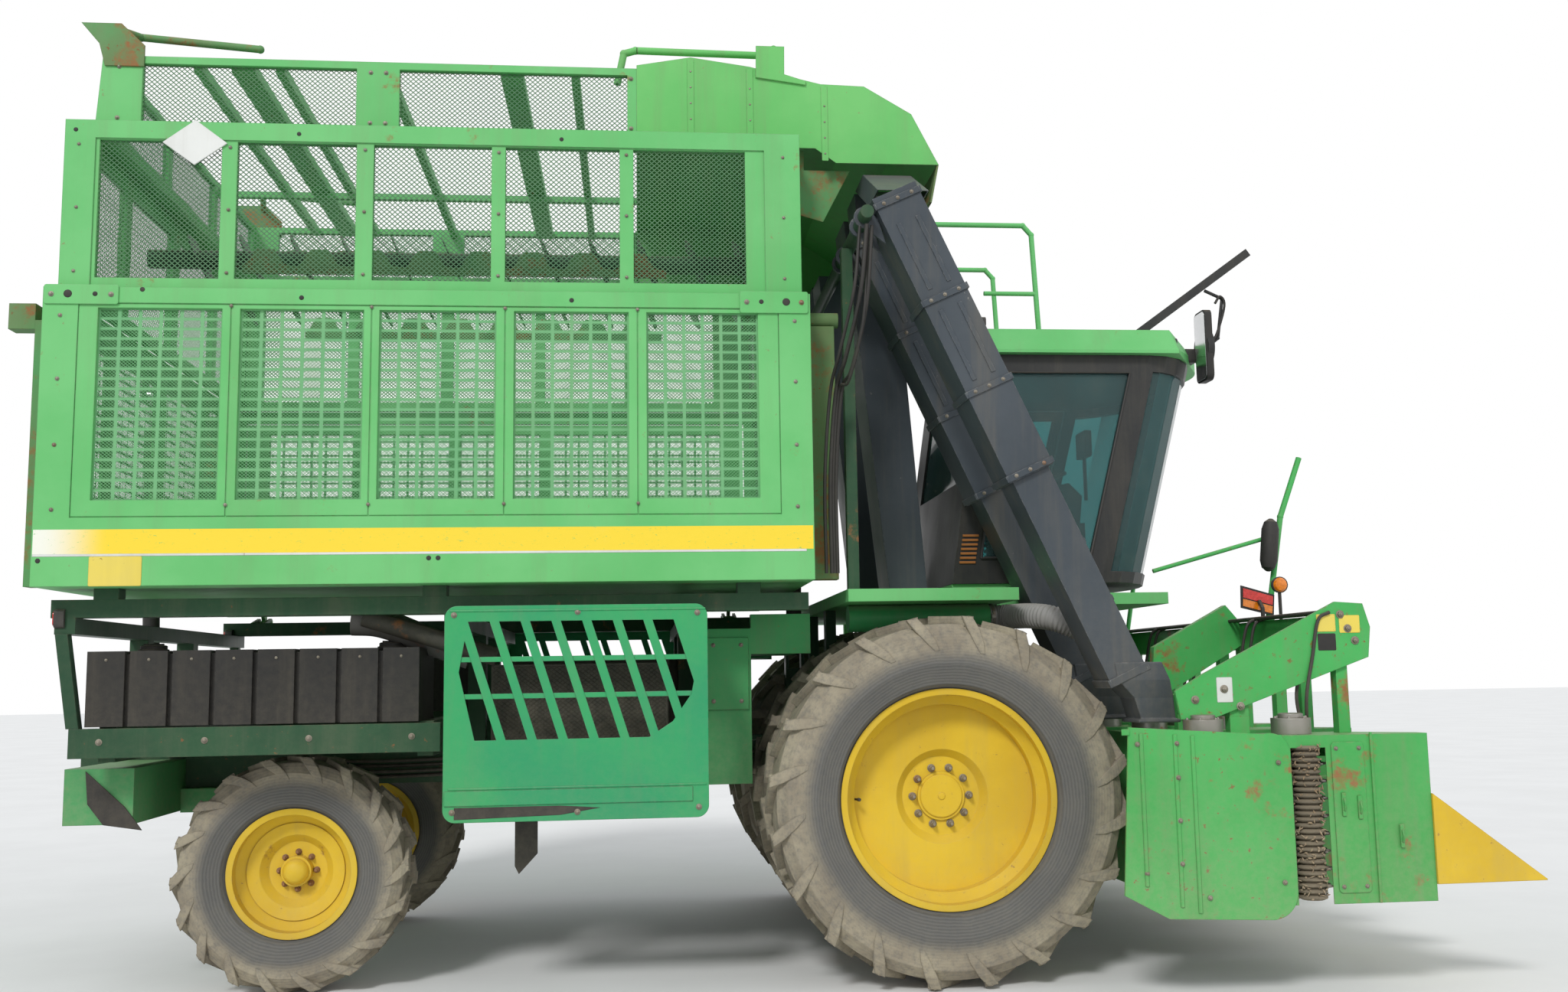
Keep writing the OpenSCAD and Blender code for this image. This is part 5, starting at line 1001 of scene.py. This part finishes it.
def header_drives():
    b = Build()
    for y in ROWS:
        cy = y + DRUM_Y
        for x in DRUM_X:
            b.turned((x, cy, 1.324), (0, 0, 1), [(0, 0.06), (0.02, 0.06), (0.024, 0.05)], 20)
            for dx, dy in circle(0.078, 6):
                b.bolt((x + dx, cy + dy, 1.3245), (0, 0, 1), 0.006, 0.006)
    b.done("drum_drive_tops", "steel", "header")
    # Hydraulic lines along the tool bar, and loops to the row units
    for k in range(3):
        b.tube([(1.872 - 0.026 * k, y, 1.842) for y in (-2.08, 2.08)], 0.01, 8)
    for y in ROWS:
        cy = y + DRUM_Y
        for k, dx in enumerate((0.0, 0.03)):
            b.tube(spline([(1.862 - dx, cy + 0.03 * k, 1.842), (1.8 - dx, cy + 0.03 * k, 1.8),
                           (1.76 - dx, cy + 0.04 * k, 1.62), (1.72 - dx, cy + 0.05 * k, 1.44),
                           (1.74 - dx, cy + 0.06, 1.28)], 7), 0.009, 8)
    b.done("header_lines", "line", "header", smooth=60)
    # Debris caught between the brushes of the outer right unit
    for _ in range(420):
        a, z = rnd.uniform(0, 2 * math.pi), rnd.uniform(0.47, 1.2)
        r, h = rnd.uniform(0.064, 0.074), rnd.uniform(0.006, 0.016)
        p = Vector((DRUM_X[1] + r * math.cos(a), ROWS[0] + DRUM_Y - BRUSH_Y + r * math.sin(a), z))
        d = Vector((rnd.uniform(-1, 1), rnd.uniform(-1, 1), rnd.uniform(-1, 1))).normalized()
        b.turned(p, d, [(-h, 0.001), (0, rnd.uniform(0.002, 0.006)), (h, 0.001)], 5)
    b.done("caught_lint", "lint", "header", smooth=0)


# ---------------------------------------------------------------- chassis
def chassis():
    # Screens behind the shields' slots, and the bolts of shields, tanks and panels
    b = Build()
    for _, s in SIDES:
        diamonds(b, (-2.32, -1.43), (1.25, 1.64), 60, 34, 0.003, on_side(s * 1.402))
    b.done("cooler_screens", "engine", smooth=0)
    for _, s in SIDES:
        b.bolts(((-2.47, 0.94), (-2.47, 1.89), (-1.28, 1.89), (-1.28, 0.94), (-1.87, 1.9), (-1.87, 0.93)),
                s * SHIELD_Y, 0.01, 0.007, s)
        b.bolts([(-4.283 + (i + 0.5) * 0.2035, 1.7) for i in range(8)], s * TANK_Y, 0.005, 0.004, s)
        b.bolts(((-1.17, 1.44), (-1.02, 1.44), (-1.17, 1.74), (-1.02, 1.74)), s * 1.212, 0.008, 0.007, s)
        b.bolts(grid((-4.2, -3.7, -3.2, -2.7), (1.3,)), s * TANK_Y, 0.011, 0.009, s)
    b.done("chassis_bolts", "bolt")
    for _, s in SIDES:
        y = s * 1.3
        for x in (-4.05, -2.85):
            b.turned((x, y, 1.743), (0, 0, 1), [(0, 0.075), (0.012, 0.075), (0.014, 0.066), (0.03, 0.066),
                                                (0.034, 0.058)], 28)
            b.box((x - 0.05, y - 0.008, 1.77), (x + 0.05, y + 0.008, 1.786))
    b.done("tank_caps", "plastic", bevel=0.002)
    # Fuel and hydraulic lines along the near rail: station and rise of each point
    for k in range(4):
        y, z = -0.492 - 0.022 * (k % 2), 1.05 + 0.03 * k
        for run in (((-3.45, 0), (-3.0, -0.012), (-2.35, 0), (-1.6, -0.02), (-1.24, 0)),
                    ((-0.95, 0), (-0.5, -0.015), (0.1, 0), (0.45, 0.02))):
            b.tube(spline([(x, y, z + dz) for x, dz in run], 6), 0.01, 8)
    b.done("rail_lines", "line", smooth=60)
    # Tail lamps at the basket's lower rear corners
    b, l = Build(), Build()
    for _, s in SIDES:
        y = s * 1.52
        b.plate(rounded(y - 0.08, 1.86, y + 0.08, 1.955, 0.02), 0, -4.44, -4.39)
        l.plate(rounded(y - 0.068, 1.872, y + 0.068, 1.943, 0.015), 0, -4.449, -4.44)
    b.done("tail_lamp_bodies", "lamp_body", bevel=0.003)
    l.done("tail_lamp_lenses", "red", bevel=0.002)
    # Exhaust elbow, an open tube that widens to its mouth, with an outer and an inner skin
    path = spline([(-2.45, -1.28, 1.7), (-2.62, -1.29, 1.765), (-2.8, -1.3, 1.84), (-2.93, -1.3, 1.885),
                   (-3.05, -1.3, 1.9)], 6)
    wide = [0.016 * (i / (len(path) - 1)) ** 2 for i in range(len(path))]
    b.tube(path, [0.07 + w for w in wide], 24, closed=False)
    b.tube(path[::-1], [0.066 + w for w in wide[::-1]], 24, closed=False)
    b.done("exhaust_elbow", "exhaust", smooth=60)
    # Rubber corner at the rear of the side panel, and the flap behind the shield
    b.plate([(-4.345, 1.15), (-4.33, 0.985), (-4.25, 0.88), (-4.06, 0.85), (-4.1, 0.905), (-4.15, 0.97)],
            1, -1.352, -1.3445)
    b.plate([(-2.196, 0.86), (-2.082, 0.86), (-2.082, 0.7), (-2.175, 0.6), (-2.196, 0.64)], 1, -1.505, -1.497)
    b.done("corner_rubber", "black", bevel=0.002)
    # Lip, groove and scuffed strip of the shields
    b, scuff = Build(), Build()
    for _, s in SIDES:
        y0, y1 = sorted((s * (SHIELD_Y - 0.0015), s * (SHIELD_Y + 0.0035)))
        for z in (1.905, 1.045):
            b.box((-2.49, y0, z), (-1.24, y1, z + 0.01))
        scuff.plate([(-2.46, 0.962), (-1.95, 0.962), (-1.76, 0.948), (-1.95, 0.918), (-2.46, 0.905)], 1,
                    s * SHIELD_Y, s * (SHIELD_Y + 0.0012))
    b.done("shield_lips", "shield", bevel=0.002)
    scuff.done("shield_scuffs", "black", slot="faded_green", smooth=0)


def deck_tread():
    """Rows of short slanted bars on the deck, left out where the cab and the rails stand."""
    b = Build()
    for i in range(-9, 10):
        for k in range(18):
            x, y = -0.44 + k * 0.052, i * 0.154 + (k % 2) * 0.077
            if (x > 0.08 and abs(y) < 0.9) or abs(y) > 1.47:
                continue
            a = 0.7 if (i + k) % 2 else -0.7
            c, s = math.cos(a) * 0.018, math.sin(a) * 0.018
            e, f = math.cos(a) * 0.004, math.sin(a) * 0.004
            b.plate([(x - c + f, y - s - e), (x + c + f, y + s - e), (x + c - f, y + s + e), (x - c - f, y - s + e)],
                    2, DECK_Z, DECK_Z + 0.0022)
    b.done("deck_tread", "basket", smooth=0)


def floor():
    g = Graph("pale_floor")
    n = g.noise(0.8, 5)
    g.base(g.mix(g.remap(n, 0.3, 0.7), (0.8, 0.8, 0.79), (0.84, 0.84, 0.83)), g.remap(n, 0.3, 0.7, 0.85, 0.95))
    me = bpy.data.meshes.new("floor")
    me.from_pydata([(-90, -90, 0), (90, -90, 0), (90, 90, 0), (-90, 90, 0)], [], [(0, 1, 2, 3)])
    me.materials.append(g.mat)
    o = bpy.data.objects.new("floor", me)
    bpy.context.collection.objects.link(o)


for make in (camera, lights, basket_sheets, stripes, basket_trim, wheels, hose, cab, ducts, row_units, outer_unit,
             header_signs, header_drives, chassis, deck_tread, floor):
    make()
bpy.context.scene.view_settings.view_transform = "Standard"
